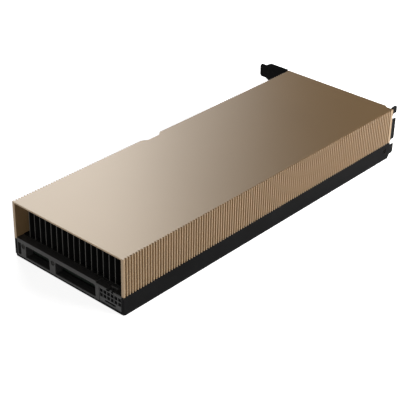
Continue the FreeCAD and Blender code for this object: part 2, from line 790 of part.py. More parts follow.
def build_heatsink_base():
    """The plate that carries the fins, with a pedestal on the processor and four standoffs."""
    body = new_body("heatsink_base")
    plan = new_sketch(body, "XY_Plane", "plate_plan", "ledge_height")
    draw_rectangle(plan, PLATE_REAR, PLATE_FRONT, "-" + SEAT_SIDE, SEAT_SIDE)
    add_pad(body, plan, "plate_thickness", "plate")
    latch = new_sketch(body, "XY_Plane", "plate_latch_plan", "ledge_height")
    draw_outline(latch, latch_outline("(shroud_wall + seat_clearance)", OVERSHOOT))
    add_pocket(body, latch, "plate_thickness", "plate_latch")
    pedestal = new_sketch(body, "XY_Plane", "pedestal_plan", "%s + paste_thickness" % DIE_TOP)
    draw_rectangle(pedestal, "%s - pedestal_size / 2" % PACKAGE_MIDDLE,
                   "%s + pedestal_size / 2" % PACKAGE_MIDDLE, "-pedestal_size / 2", "pedestal_size / 2")
    add_pad(body, pedestal, "ledge_height - %s - paste_thickness" % DIE_TOP, "pedestal")
    standoffs = new_sketch(body, "XY_Plane", "standoff_plan", BOARD_TOP)
    for across, along in standoff_places():
        draw_circle(standoffs, across, along, "standoff_diameter / 2")
    add_pad(body, standoffs, "ledge_height - %s" % BOARD_TOP, "standoffs")
    threads = new_sketch(body, "XY_Plane", "standoff_hole_plan", BOARD_TOP)
    for across, along in standoff_places():
        draw_circle(threads, across, along, "retention_screw / 2 + screw_clearance")
    add_pocket(body, threads, "retention_grip + screw_clearance", "standoff_holes")
    holes = new_sketch(body, "XY_Plane", "plate_hole_plan", "ledge_height")
    for across, along in screw_stations():
        draw_circle(holes, across, along, "screw_diameter / 2 + screw_clearance")
    add_pocket(body, holes, "plate_thickness", "plate_holes")
    groove = new_sketch(body, "XY_Plane", "fin_groove_plan", "%s - fin_groove" % PLATE_TOP)
    draw_rectangle(groove, "%s - %s" % (PLATE_REAR, OVERSHOOT), "%s + %s" % (PLATE_FRONT, OVERSHOOT),
                   "-(fin_count - 1) / 2 * fin_pitch - fin_thickness / 2",
                   "-(fin_count - 1) / 2 * fin_pitch + fin_thickness / 2")
    first = add_pocket(body, groove, "fin_groove + %s" % OVERSHOOT, "first_fin_groove")
    add_pattern(body, first, "Y_Axis", "fin_pitch", "fin_count", "fin_grooves")


def build_fins():
    """The upright plates between the walls, each one bonded in its groove."""
    for number in range(int(value("fin_count"))):
        label = "fin_%02d" % (number + 1)
        body = new_body(label)
        face = new_sketch(body, "XZ_Plane", label + "_face",
                          "-(%d - (fin_count - 1) / 2) * fin_pitch - fin_thickness / 2" % number)
        top = "card_height - shroud_sheet - fin_top_gap"
        draw_outline(face, [
            (PLATE_REAR, "%s - fin_groove" % PLATE_TOP),
            (PLATE_FRONT, "%s - fin_groove" % PLATE_TOP),
            (PLATE_FRONT, "%s - fin_corner" % top),
            ("%s - fin_corner" % PLATE_FRONT, top),
            ("%s + fin_corner" % PLATE_REAR, top),
            (PLATE_REAR, "%s - fin_corner" % top),
        ])
        add_pad(body, face, "fin_thickness", label + "_sheet")


def build_processor_package():
    """The substrate with its die, memory stacks, stiffener ring and thermal paste."""
    half = "package_size / 2"
    keep(add_block("package_substrate", "%s - %s" % (PACKAGE_MIDDLE, half), "-" + half, BOARD_TOP,
                   "package_size", "package_size", "package_thickness"), "package_substrate")
    seat = "%s + package_thickness" % BOARD_TOP
    keep(add_block("processor_die", "%s - die_length / 2" % PACKAGE_MIDDLE, "-die_width / 2", seat,
                   "die_length", "die_width", "die_thickness"), "processor_die")
    stacks = []
    for side in (-1, 1):
        edge = "die_length / 2 + stack_gap" if side > 0 else "-die_length / 2 - stack_gap - stack_width"
        for row in (-1, 0, 1):
            stacks.append(add_block(
                "memory_stack_%d" % (len(stacks) + 1), "%s + %s" % (PACKAGE_MIDDLE, edge),
                "%d * (stack_length + stack_gap / 2) - stack_length / 2" % row, seat,
                "stack_width", "stack_length", "die_thickness"))
    keep_group("memory_stacks", stacks)
    outer = add_block("stiffener_outer", "%s - %s" % (PACKAGE_MIDDLE, half), "-" + half, seat,
                      "package_size", "package_size", "stiffener_thickness")
    inner = add_block("stiffener_inner", "%s - %s + stiffener_band" % (PACKAGE_MIDDLE, half),
                      "-%s + stiffener_band" % half, seat, "package_size - 2 * stiffener_band",
                      "package_size - 2 * stiffener_band", "2 * stiffener_thickness")
    keep(subtract("package_stiffener", outer, inner), "package_stiffener")
    width = "(die_length + 2 * stack_gap + 2 * stack_width)"
    keep(add_block("thermal_paste", "%s - %s / 2" % (PACKAGE_MIDDLE, width), "-die_width / 2", DIE_TOP,
                   width, "die_width", "paste_thickness"), "thermal_paste")


def build_power_parts():
    """Inductors, power stages, pads, capacitors and controllers on both sides of the processor."""
    inductors = []
    stages = []
    pads = []
    capacitors = []
    controllers = []
    for side in (-1, 1):
        inner = "(package_size / 2 + supply_row_gap)"
        near_edge = inner if side > 0 else "(-%s - inductor_width)" % inner
        stage_edge = ("(%s + inductor_width + stage_gap)" % inner if side > 0
                      else "(-%s - inductor_width - stage_gap - stage_width)" % inner)
        outer_edge = "(%s + inductor_width + 2 * stage_gap + stage_width + capacitor_diameter / 2)" % inner
        capacitor_middle = outer_edge if side > 0 else "(-%s)" % outer_edge
        for number in range(int(value("inductor_count"))):
            row = "(%d - (inductor_count - 1) / 2) * inductor_pitch" % number
            name = "%s_%d" % ("front" if side > 0 else "rear", number + 1)
            inductors.append(add_block(
                "inductor_" + name, "%s + %s" % (PACKAGE_MIDDLE, near_edge), row + " - inductor_length / 2",
                BOARD_TOP, "inductor_width", "inductor_length", "inductor_height"))
            stages.append(add_block(
                "power_stage_" + name, "%s + %s" % (PACKAGE_MIDDLE, stage_edge), row + " - stage_length / 2",
                BOARD_TOP, "stage_width", "stage_length", "stage_height"))
            capacitors.append(add_rod(
                "capacitor_" + name, "%s + %s" % (PACKAGE_MIDDLE, capacitor_middle), row, BOARD_TOP,
                "capacitor_diameter / 2", "capacitor_height"))
        span = "(inductor_count - 1) * inductor_pitch"
        name = "front" if side > 0 else "rear"
        pads.append(add_block(
            "inductor_pad_" + name, "%s + %s" % (PACKAGE_MIDDLE, near_edge),
            "-(%s + inductor_length) / 2" % span, "%s + inductor_height" % BOARD_TOP,
            "inductor_width", "%s + inductor_length" % span,
            "ledge_height - %s - inductor_height" % BOARD_TOP))
        for row in (-1, 1):
            controllers.append(add_block(
                "controller_%s_%d" % (name, len(controllers) + 1),
                "%s + %s + %d * (capacitor_diameter + controller_size) - controller_size / 2"
                % (PACKAGE_MIDDLE, capacitor_middle, side),
                "%d * controller_spacing / 2 - controller_size / 2" % row, BOARD_TOP,
                "controller_size", "controller_size", "controller_height"))
    keep_group("inductors", inductors)
    keep_group("power_stages", stages)
    keep_group("thermal_pads", pads)
    keep_group("capacitors", capacitors)
    keep_group("controller_chips", controllers)


def build_retention_plate():
    """The spring frame under the board that pulls the heatsink onto the processor."""
    body = new_body("retention_plate")
    low = "board_underside - retention_thickness"
    plan = new_sketch(body, "XY_Plane", "retention_plan", low)
    half = "(standoff_spacing / 2 + retention_band / 2)"
    draw_rectangle(plan, "%s - %s" % (PACKAGE_MIDDLE, half), "%s + %s" % (PACKAGE_MIDDLE, half),
                   "-" + half, half)
    add_pad(body, plan, "retention_thickness", "retention_sheet")
    window = new_sketch(body, "XY_Plane", "retention_window_plan", low)
    inner = "(standoff_spacing / 2 - retention_band / 2)"
    draw_rectangle(window, "%s - %s" % (PACKAGE_MIDDLE, inner), "%s + %s" % (PACKAGE_MIDDLE, inner),
                   "-" + inner, inner)
    add_pocket(body, window, "retention_thickness", "retention_window")
    holes = new_sketch(body, "XY_Plane", "retention_hole_plan", low)
    for across, along in standoff_places():
        draw_circle(holes, across, along, "retention_screw / 2 + screw_clearance")
    add_pocket(body, holes, "retention_thickness", "retention_holes")


def build_screw(name, across, along, low, head_radius, head_height, shank_radius, top):
    """Make one upright screw: a flat head and a plain shank that reaches the given height."""
    head = add_rod(name + "_head", across, along, low, head_radius, head_height)
    shank = add_rod(name + "_shank", across, along, low, shank_radius, "%s - (%s)" % (top, low))
    return join(name, head, shank)


def build_screws():
    """Every group of screws: through the whole card, rear bar, retention plate and bracket."""
    long_screws = []
    for number, (across, along) in enumerate(screw_stations(), start=1):
        long_screws.append(build_screw(
            "long_screw_%d" % number, across, along, "0", "screw_head / 2", "screw_head_height",
            "screw_diameter / 2", "%s + lug_height - screw_end_gap" % PLATE_TOP))
    keep_group("long_screws", long_screws)
    bar_screws = []
    for number, (across, along) in enumerate(bar_screw_places(), start=1):
        bar_screws.append(build_screw(
            "rear_bar_screw_%d" % number, across, along, "0", "screw_head / 2", "screw_head_height",
            "screw_diameter / 2", "rear_screw_top"))
    keep_group("rear_bar_screws", bar_screws)
    retention = []
    low = "(board_underside - retention_thickness - retention_head_height)"
    for number, (across, along) in enumerate(standoff_places(), start=1):
        retention.append(build_screw(
            "retention_screw_%d" % number, across, along, low, "retention_head / 2",
            "retention_head_height", "retention_screw / 2", "%s + retention_grip" % BOARD_TOP))
    keep_group("retention_screws", retention)
    bracket = []
    for number, step in enumerate((-1, 0, 1), start=1):
        name = "bracket_screw_%d" % number
        along = "%d * bracket_screw_spacing" % step
        head = add_rod(name + "_head", "%s + bracket_thickness" % FRONT, along, "bracket_screw_height",
                       "screw_head / 2", "bracket_screw_head_height")
        shank = add_rod(name + "_shank", "%s - bracket_screw_length" % FRONT, along,
                        "bracket_screw_height", "screw_diameter / 2",
                        "bracket_screw_length + bracket_thickness")
        turn_to_x(head)
        turn_to_x(shank)
        bracket.append(join(name, head, shank))
    keep_group("bracket_screws", bracket)


def build_inserts():
    """The threaded bushes: two in the rear posts and one in the side of the frame."""
    rear = []
    mouth = "%s + insert_setback" % REAR
    for number, along in enumerate(rear_insert_lines(), start=1):
        name = "rear_insert_%d" % number
        outer = add_rod(name + "_outside", mouth, along, "insert_height", "insert_diameter / 2",
                        "insert_length")
        bore = add_rod(name + "_bore", mouth, along, "insert_height", "insert_bore / 2",
                       "insert_length")
        turn_to_x(outer)
        turn_to_x(bore)
        rear.append(subtract(name, outer, bore))
    keep_group("rear_thread_inserts", rear)
    across = "%s - side_insert_from_bracket" % FRONT
    along = "%s + insert_setback + insert_length" % TOP_EDGE
    outer = add_rod("side_insert_outside", across, along, "side_insert_height",
                    "insert_diameter / 2", "insert_length")
    bore = add_rod("side_insert_bore", across, along, "side_insert_height", "insert_bore / 2",
                   "insert_length")
    for rod in (outer, bore):
        rod.Placement.Rotation = FreeCAD.Rotation(FreeCAD.Vector(1, 0, 0), 90)
    keep(subtract("side_thread_insert", outer, bore), "side_thread_insert")


def cell_places():
    """Return the places of the power cells on the rear face, column by column."""
    first = "(%s + header_middle - (cell_columns - 1) / 2 * cell_pitch)" % TOP_EDGE
    return [
        ("%s + %d * cell_pitch" % (first, column), "upper_row_height - %d * cell_pitch" % row)
        for column in range(int(value("cell_columns"))) for row in (0, 1)
    ]


def build_power_header():
    """The housing of the power inlet: twelve cells, a sideband slot and a latch nub."""
    body = new_body("power_header")
    middle = "(%s + header_middle)" % TOP_EDGE
    cell_floor = "%s + cell_depth" % HEADER_REAR
    hole_length = "header_length - cell_depth"
    face = new_sketch(body, "YZ_Plane", "header_face", HEADER_REAR)
    draw_rectangle(face, "%s - header_width / 2" % middle, "%s + header_width / 2" % middle,
                   "backplate_thickness", "header_top")
    add_pad(body, face, "header_length", "header_block")
    sense = new_sketch(body, "YZ_Plane", "sense_face", HEADER_REAR)
    draw_rectangle(sense, "%s - sense_slot_width / 2" % middle, "%s + sense_slot_width / 2" % middle,
                   "sense_height - sense_slot_height / 2", "sense_height + sense_slot_height / 2")
    add_pocket(body, sense, "cell_depth", "sense_slot")
    nub = new_sketch(body, "XY_Plane", "nub_plan", "header_top")
    draw_rectangle(nub, HEADER_REAR, "%s + latch_nub_length" % HEADER_REAR,
                   "%s + latch_gap_middle - latch_nub_width / 2" % TOP_EDGE,
                   "%s + latch_gap_middle + latch_nub_width / 2" % TOP_EDGE)
    add_pad(body, nub, "latch_nub_height", "latch_nub")

    for name, size, start, depth in (
        ("cell", "cell_size", HEADER_REAR, "cell_depth"),
        ("pin_hole", "pin_size", cell_floor, hole_length),
    ):
        faces = new_sketch(body, "YZ_Plane", name + "_face", start)
        for along, up in cell_places()[:2]:
            draw_rectangle(faces, "%s - %s / 2" % (along, size), "%s + %s / 2" % (along, size),
                           "%s - %s / 2" % (up, size), "%s + %s / 2" % (up, size))
        column = add_pocket(body, faces, depth, name + "_column")
        add_pattern(body, column, "Y_Axis", "cell_pitch", "cell_columns", name + "_columns")
    hole = new_sketch(body, "YZ_Plane", "sense_hole_face", cell_floor)
    outermost = "(%s - (sense_count - 1) / 2 * sense_pitch)" % middle
    draw_rectangle(hole, "%s - sense_pin_size / 2" % outermost, "%s + sense_pin_size / 2" % outermost,
                   "sense_height - sense_pin_size / 2", "sense_height + sense_pin_size / 2")
    first = add_pocket(body, hole, hole_length, "first_sense_hole")
    add_pattern(body, first, "Y_Axis", "sense_pitch", "sense_count", "sense_holes")


def build_contacts():
    """The pins of the power header: bent blades for the cells, straight ones for the sideband."""
    nose = "(%s + pin_setback)" % HEADER_REAR
    power = []
    for number, (along, up) in enumerate(cell_places(), start=1):
        name = "power_pin_%d" % number
        row_back = number % 2
        tail = "(%s + pin_setback + %d * cell_pitch / 2)" % (HEADER_FRONT, row_back)
        blade = add_block(name + "_blade", nose, "%s - pin_size / 2" % along, "%s - pin_size / 2" % up,
                          "%s - %s" % (tail, nose), "pin_size", "pin_size")
        leg = add_block(name + "_leg", "%s - pin_size" % tail, "%s - pin_size / 2" % along, BOARD_TOP,
                        "pin_size", "pin_size", "%s + pin_size / 2 - %s" % (up, BOARD_TOP))
        power.append(join(name, blade, leg))
    keep_group("power_contacts", power)
    sense = []
    for number in range(int(value("sense_count"))):
        along = "(%s + header_middle + (%d - (sense_count - 1) / 2) * sense_pitch)" % (
            TOP_EDGE, number)
        sense.append(add_block("sense_pin_%d" % (number + 1), nose, "%s - sense_pin_size / 2" % along,
                               "sense_height - sense_pin_size / 2", "%s - %s" % (HEADER_FRONT, nose),
                               "sense_pin_size", "sense_pin_size"))
    keep_group("sense_contacts", sense)


def build_bracket():
    """The folded sheet at the slot end: vents, two tongues and a notched flange."""
    body = new_body("bracket")
    low = "bracket_lift"
    high = "(bracket_lift + bracket_height)"
    outer = BRACKET_SIDE
    tip = "(%s + bracket_length)" % outer
    neck = "(%s - tongue_length)" % tip
    shoulder = "(%s - tongue_taper)" % neck
    face = new_sketch(body, "YZ_Plane", "bracket_face", FRONT)
    points = [(outer, low), (shoulder, low)]
    for slot in (0, 1):
        middle = "(lower_slot_height + %d * slot_spacing)" % slot
        foot = "(%s - tongue_width / 2)" % middle
        head = "(%s + tongue_width / 2)" % middle
        if slot == 1:
            points.append((shoulder, "%s - tongue_shoulder" % foot))
        points += [
            (neck, foot),
            ("%s - tongue_corner" % tip, foot),
            (tip, "%s + tongue_corner" % foot),
            (tip, "%s - tongue_corner" % head),
            ("%s - tongue_corner" % tip, head),
            (neck, head),
        ]
        if slot == 0:
            points.append((shoulder, "%s + tongue_shoulder" % head))
    under_lip = "(card_height - shroud_sheet - lip_gap)"
    points += [
        (shoulder, high),
        ("%s + seat_clearance" % CONNECTOR_SIDE, high),
        ("%s + seat_clearance" % CONNECTOR_SIDE, under_lip),
        ("%s + bracket_thickness" % outer, under_lip),
        ("%s + bracket_thickness" % outer, high),
        (outer, high),
    ]
    draw_outline(face, points)
    add_pad(body, face, "bracket_thickness", "bracket_sheet")

    inside = "-(%s + bracket_thickness)" % outer
    flange = new_sketch(body, "XZ_Plane", "flange_face", inside)
    edge = "(%s + flange_depth)" % FRONT
    bottom = "(%s + flange_lift)" % low
    draw_outline(flange, [
        (FRONT, low),
        ("%s + bracket_thickness" % FRONT, low),
        ("%s + bracket_thickness + flange_lift" % FRONT, bottom),
        ("%s - flange_corner" % edge, bottom),
        (edge, "%s + flange_corner" % bottom),
        (edge, "%s - flange_corner" % high),
        ("%s - flange_corner" % edge, high),
        (FRONT, high),
    ])
    add_pad(body, flange, "bracket_thickness", "flange")
    notches = new_sketch(body, "XZ_Plane", "notch_face", inside)
    for slot in (0, 1):
        middle = "(lower_slot_height + %d * slot_spacing)" % slot
        draw_rectangle(notches, "%s - notch_depth" % edge, "%s + %s" % (edge, OVERSHOOT),
                       "%s - notch_width / 2" % middle, "%s + notch_width / 2" % middle)
    notch_cut = add_pocket(body, notches, "bracket_thickness", "notches")
    along_y = FreeCAD.Vector(0, 1, 0)
    notch_floor = value("%s - notch_depth" % edge)
    rounded = add_fillet(
        body, notch_cut, "(notch_width - notch_flat) / 2",
        lambda item: runs_along(item, along_y) and near(item.Vertexes[0].X, notch_floor),
        "notch_rounds")
    bend = value(FRONT)
    side = value(outer)
    up = FreeCAD.Vector(0, 0, 1)
    add_fillet(
        body, rounded, "bend_radius",
        lambda item: runs_along(item, up) and near(item.Vertexes[0].X, bend)
        and near(item.Vertexes[0].Y, side),
        "flange_bend")

    vents = new_sketch(body, "YZ_Plane", "vent_face", FRONT)
    half = "(vent_count - 1) / 2 * vent_pitch"
    draw_rectangle(vents, "-%s - vent_width / 2" % half, "-%s + vent_width / 2" % half,
                   "vent_bottom", "vent_top")
    first = add_pocket(body, vents, "bracket_thickness", "first_vent")
    add_pattern(body, first, "Y_Axis", "vent_pitch", "vent_count", "vents")
    holes = new_sketch(body, "YZ_Plane", "bracket_hole_face", FRONT)
    for step in (-1, 0, 1):
        draw_circle(holes, "%d * bracket_screw_spacing" % step, "bracket_screw_height",
                    "screw_diameter / 2 + screw_clearance")
    add_pocket(body, holes, "bracket_thickness", "bracket_holes")


def check_and_export():
    """Stop on any failed object or bad solid, and write every node's shape to its own file."""
    document.recompute()
    for item in document.Objects:
        if "Invalid" in item.State or "Error" in item.State:
            raise RuntimeError("%s failed" % item.Name)
    for node in nodes:
        if node.Shape.isNull() or not node.Shape.isValid():
            raise RuntimeError("%s has no valid shape" % node.Label)
    os.makedirs("parts", exist_ok=True)
    for node in nodes:
        node.Shape.exportStep("parts/%s.step" % node.Label)
        print("%-20s %2d solid(s) %12.2f mm3" % (node.Label, len(node.Shape.Solids), node.Shape.Volume))


fill_sheet()
build_shroud()
build_base_frame()
build_rear_bar()
build_backplate()
build_insulating_film()
build_circuit_board()
build_edge_contacts()
build_heatsink_base()
build_fins()
build_processor_package()
build_power_parts()
build_retention_plate()
build_screws()
build_inserts()
build_power_header()
build_contacts()
build_bracket()
check_and_export()
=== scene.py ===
"""Dress the passive accelerator card: finishes for its solids and detailed pieces around them.

The card lies on its backplate. +X runs from the rear end to the bracket, -Y is the ribbed long
side, +Y the side with the edge connector, and +Z points up through the shroud.
"""
import logging
import math
from contextlib import contextmanager
from dataclasses import dataclass, field
from enum import Enum
from typing import Callable, Iterator

import bmesh
import bpy
from mathutils import Matrix, Vector


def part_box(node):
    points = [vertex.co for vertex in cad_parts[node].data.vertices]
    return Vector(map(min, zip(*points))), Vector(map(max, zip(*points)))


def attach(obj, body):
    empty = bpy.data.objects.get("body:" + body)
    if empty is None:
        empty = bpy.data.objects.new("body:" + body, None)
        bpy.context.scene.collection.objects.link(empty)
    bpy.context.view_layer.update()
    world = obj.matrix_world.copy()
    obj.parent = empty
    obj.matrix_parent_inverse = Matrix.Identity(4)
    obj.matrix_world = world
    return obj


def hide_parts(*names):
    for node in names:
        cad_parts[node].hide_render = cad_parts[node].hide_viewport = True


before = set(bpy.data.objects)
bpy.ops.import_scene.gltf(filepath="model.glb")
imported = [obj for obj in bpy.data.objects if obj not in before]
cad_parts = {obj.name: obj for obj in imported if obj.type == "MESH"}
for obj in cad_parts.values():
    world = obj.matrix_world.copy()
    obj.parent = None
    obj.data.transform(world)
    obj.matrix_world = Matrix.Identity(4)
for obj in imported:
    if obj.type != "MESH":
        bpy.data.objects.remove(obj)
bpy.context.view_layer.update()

LOG = logging.getLogger("accelerator_card")
MM = 0.001
BODY = "root"
TINY = 0.001 * MM           # places closer than this are one place
SQUARE = 0.9                # least part of a normal along an axis that counts as facing it
FLAT_ANGLE = 0.4            # faces that differ by fewer degrees are one flat face
SMOOTH_ANGLE = 32.0         # edges blunter than this many degrees are shaded smooth
SHARP_ANGLE = 40.0          # edges sharper than this many degrees are broken
GRAIN_LAYERS = 3.0          # finer layers of a finish's grain
DRIFT_LAYERS = 4.0          # finer layers of the slow drift of its colour
GRAIN_SPAN = (0.3, 0.7)     # part of the noise's range that moves the roughness
DRIFT_SPAN = (0.35, 0.65)   # part of the noise's range that moves the colour
EVEN = (1.0, 1.0, 1.0)

Colour = tuple[float, float, float]
Triple = tuple[float, float, float]
EdgeTest = Callable[[Vector, Vector, float], bool]


class Axis(Enum):
    """One of the frame's three directions."""

    X = 0
    Y = 1
    Z = 2

    def unit(self, sign: float = 1.0) -> Vector:
        """Return the unit vector along the axis, or against it.

        Args:
            sign: 1 for along the axis, -1 for against it.

        Returns:
            The vector.
        """
        vector = Vector((0.0, 0.0, 0.0))
        vector[self.value] = sign
        return vector


class Drive(Enum):
    """The recess in a screw's head.

    The values are the degrees from one arm to the next, where the gap between two arms starts and
    ends, and how much of its radius is left there.
    """

    STAR = (60.0, 18.0, 42.0, 0.72)
    CROSS = (90.0, 20.0, 70.0, 0.42)


# ---------------------------------------------------------------- finishes


@dataclass(frozen=True)
class Finish:
    """One surface finish, with a slow drift of its colour and a fine grain.

    Args:
        name: what the maker calls the finish.
        slot: the record's material slot; not used.
        colour: the main colour.
        shade: the colour that it drifts towards.
        metallic: 1 for bare or anodised metal, 0 for paint and plastic.
        roughness: mean roughness.
        swing: how far the grain moves the roughness to each side.
        specular: the level of the plain reflection.
        index: refractive index of the surface itself.
        tint: colour of the plain reflection.
        coat: weight of a clear layer on top.
        coat_roughness: roughness of that layer.
        patch: size of the slow drift, in metres.
        grain: size of the fine grain, in metres.
        stretch: how many times longer the grain is along each axis.
        depth: height of the grain, in metres.
    """

    name: str
    slot: str
    colour: Colour
    shade: Colour
    metallic: float = 0.0
    roughness: float = 0.5
    swing: float = 0.06
    specular: float = 0.5
    index: float = 1.5
    tint: Colour = EVEN
    coat: float = 0.0
    coat_roughness: float = 0.3
    patch: float = 0.03
    grain: float = 0.0006
    stretch: Triple = EVEN
    depth: float = 0.00002

    def material(self) -> bpy.types.Material:
        """Build the finish's material, or return the one that is there.

        Returns:
            The node-based material.
        """
        if self.name in bpy.data.materials:
            return bpy.data.materials[self.name]
        material = bpy.data.materials.new(self.name)
        material.use_nodes = True
        material.diffuse_color = (*self.colour, 1.0)
        tree = material.node_tree
        shader = tree.nodes["Principled BSDF"]
        shader.inputs["Metallic"].default_value = self.metallic
        shader.inputs["Specular IOR Level"].default_value = self.specular
        shader.inputs["IOR"].default_value = self.index
        shader.inputs["Specular Tint"].default_value = (*self.tint, 1.0)
        shader.inputs["Coat Weight"].default_value = self.coat
        shader.inputs["Coat Roughness"].default_value = self.coat_roughness
        grain = self.noise(tree, self.grain, self.stretch, GRAIN_LAYERS)
        tree.links.new(self.paint(tree), shader.inputs["Base Color"])
        tree.links.new(self.sheen(tree, grain), shader.inputs["Roughness"])
        bump = tree.nodes.new("ShaderNodeBump")
        bump.inputs["Distance"].default_value = self.depth
        tree.links.new(grain, bump.inputs["Height"])
        tree.links.new(bump.outputs["Normal"], shader.inputs["Normal"])
        return material

    def noise(
        self, tree: bpy.types.NodeTree, size: float, stretch: Triple, detail: float
    ) -> bpy.types.NodeSocket:
        """Add a noise of the given size on the object's own coordinates.

        Args:
            tree: the material's nodes.
            size: size of one grain, in metres.
            stretch: how many times longer the grain is along each axis.
            detail: how many finer layers the noise has.

        Returns:
            The noise's value.
        """
        place = tree.nodes.new("ShaderNodeTexCoord")
        mapping = tree.nodes.new("ShaderNodeMapping")
        mapping.inputs["Scale"].default_value = [1.0 / (size * part) for part in stretch]
        noise = tree.nodes.new("ShaderNodeTexNoise")
        noise.inputs["Scale"].default_value = 1.0
        noise.inputs["Detail"].default_value = detail
        tree.links.new(place.outputs["Object"], mapping.inputs["Vector"])
        tree.links.new(mapping.outputs["Vector"], noise.inputs["Vector"])
        return noise.outputs["Fac"]

    def paint(self, tree: bpy.types.NodeTree) -> bpy.types.NodeSocket:
        """Add the slow drift between the finish's two colours.

        Args:
            tree: the material's nodes.

        Returns:
            The colour.
        """
        ramp = tree.nodes.new("ShaderNodeValToRGB")
        stops = zip(ramp.color_ramp.elements, DRIFT_SPAN, (self.shade, self.colour))
        for stop, position, colour in stops:
            stop.position = position
            stop.color = (*colour, 1.0)
        tree.links.new(self.noise(tree, self.patch, EVEN, DRIFT_LAYERS), ramp.inputs["Fac"])
        return ramp.outputs["Color"]

    def sheen(
        self, tree: bpy.types.NodeTree, grain: bpy.types.NodeSocket
    ) -> bpy.types.NodeSocket:
        """Let the grain move the roughness about its mean.

        Args:
            tree: the material's nodes.
            grain: the fine grain's value.

        Returns:
            The roughness.
        """
        spread = tree.nodes.new("ShaderNodeMapRange")
        spread.inputs["From Min"].default_value, spread.inputs["From Max"].default_value = GRAIN_SPAN
        spread.inputs["To Min"].default_value = self.roughness - self.swing
        spread.inputs["To Max"].default_value = self.roughness + self.swing
        tree.links.new(grain, spread.inputs["Value"])
        return spread.outputs["Result"]


BRONZE_ANODISED = Finish(
    "bronze_anodised_aluminium", "shroud_metal", (0.206, 0.128, 0.061), (0.196, 0.122, 0.058),
    roughness=0.32, swing=0.02, index=2.0, tint=(1.0, 0.86, 0.68), patch=0.06, grain=0.0004,
    depth=0.000004)
BLACK_COATED_FRAME = Finish(
    "black_coated_frame", "black_frame", (0.006, 0.006, 0.0062), (0.0045, 0.0045, 0.0047),
    roughness=0.7, swing=0.08, specular=0.04, grain=0.0005)
MOULDED_REAR_BAR = Finish(
    "moulded_rear_bar", "black_frame", (0.028, 0.027, 0.026), (0.022, 0.021, 0.020),
    roughness=0.5, swing=0.08, specular=0.25, patch=0.01, grain=0.0003, depth=0.00001)
BLACK_COATED_SHEET = Finish(
    "black_coated_sheet", "black_sheet", (0.008, 0.008, 0.008), (0.006, 0.006, 0.006),
    roughness=0.7, swing=0.08, specular=0.06, grain=0.0004, depth=0.000015)
DARK_FILM = Finish(
    "dark_insulating_film", "dark_film", (0.008, 0.008, 0.008), (0.006, 0.006, 0.006),
    roughness=0.5, swing=0.05, specular=0.1, grain=0.002, depth=0.00001)
SOLDER_MASK = Finish(
    "black_solder_mask", "board", (0.007, 0.010, 0.008), (0.005, 0.007, 0.006),
    roughness=0.45, specular=0.12, coat=0.05, coat_roughness=0.15, patch=0.004, grain=0.0008,
    depth=0.00001)
GOLD_PLATING = Finish(
    "hard_gold_plating", "gold_plating", (0.83, 0.60, 0.26), (0.72, 0.50, 0.20),
    metallic=1.0, roughness=0.28, swing=0.08, patch=0.002, grain=0.0002, stretch=(1.0, 8.0, 1.0),
    depth=0.000002)
# Contacts deep in the header's cells and slot: the plating's colour is darkened to a painted shade
# of those recesses.
CONTACT_PAINTED_SHADE = Finish(
    "contact_plating_painted_shade", "gold_plating", (0.16, 0.12, 0.06), (0.12, 0.09, 0.05),
    metallic=1.0, roughness=0.5, swing=0.08, patch=0.001, grain=0.0002, depth=0.000002)
DARK_HEATSINK = Finish(
    "dark_coated_heatsink", "heatsink_metal", (0.005, 0.005, 0.005), (0.004, 0.004, 0.004),
    roughness=0.65, swing=0.08, specular=0.04, grain=0.0005, stretch=(6.0, 1.0, 1.0),
    depth=0.000006)
DARK_FIN = Finish(
    "dark_coated_fin", "fin_metal", (0.007, 0.007, 0.007), (0.005, 0.005, 0.005),
    roughness=0.55, swing=0.08, specular=0.06, grain=0.0004, stretch=(8.0, 1.0, 1.0),
    depth=0.000004)
# Paler cut ends of the fins: partly the coating running thin at an edge, partly a painted highlight
# where light catches the fins' front edges.
CUT_FIN_EDGE_AND_HIGHLIGHT = Finish(
    "cut_fin_edge_and_highlight", "fin_metal", (0.058, 0.055, 0.050), (0.040, 0.038, 0.035),
    roughness=0.5, swing=0.06, specular=0.2, patch=0.004, grain=0.0002, depth=0.000003)
PACKAGE_LAMINATE = Finish(
    "package_laminate", "substrate", (0.05, 0.16, 0.09), (0.04, 0.13, 0.07),
    roughness=0.4, patch=0.003)
POLISHED_SILICON = Finish(
    "polished_silicon", "silicon", (0.32, 0.34, 0.38), (0.26, 0.28, 0.32),
    metallic=1.0, roughness=0.12, swing=0.03, patch=0.01, depth=0.000001)
NICKEL_PLATED = Finish(
    "nickel_plated_steel", "nickel_plate", (0.60, 0.58, 0.54), (0.52, 0.50, 0.47),
    metallic=1.0, roughness=0.35, grain=0.0004, stretch=(8.0, 1.0, 1.0), depth=0.000003)
THERMAL_PASTE = Finish(
    "thermal_paste", "paste", (0.55, 0.55, 0.56), (0.42, 0.42, 0.43),
    roughness=0.6, patch=0.004, grain=0.001, depth=0.00004)
PRESSED_FERRITE = Finish(
    "pressed_ferrite", "ferrite", (0.12, 0.12, 0.12), (0.08, 0.08, 0.08),
    roughness=0.7, patch=0.003, grain=0.0003)
MOULDED_CHIP = Finish(
    "moulded_chip_resin", "chip_plastic", (0.04, 0.04, 0.04), (0.03, 0.03, 0.03),
    roughness=0.6, patch=0.002, grain=0.0002, depth=0.000008)
SOFT_PAD = Finish(
    "soft_thermal_pad", "pad", (0.45, 0.50, 0.60), (0.38, 0.43, 0.52),
    roughness=0.75, patch=0.006, grain=0.0008, depth=0.00003)
BARE_CAN = Finish(
    "bare_aluminium_can", "can_metal", (0.70, 0.70, 0.70), (0.60, 0.60, 0.60),
    metallic=1.0, roughness=0.3, patch=0.004, grain=0.0003, stretch=(1.0, 1.0, 6.0),
    depth=0.000003)
SPRING_STEEL = Finish(
    "plain_spring_steel", "spring_steel", (0.50, 0.50, 0.50), (0.42, 0.42, 0.42),
    metallic=1.0, roughness=0.35, patch=0.01, grain=0.0005, stretch=(10.0, 1.0, 1.0),
    depth=0.000004)
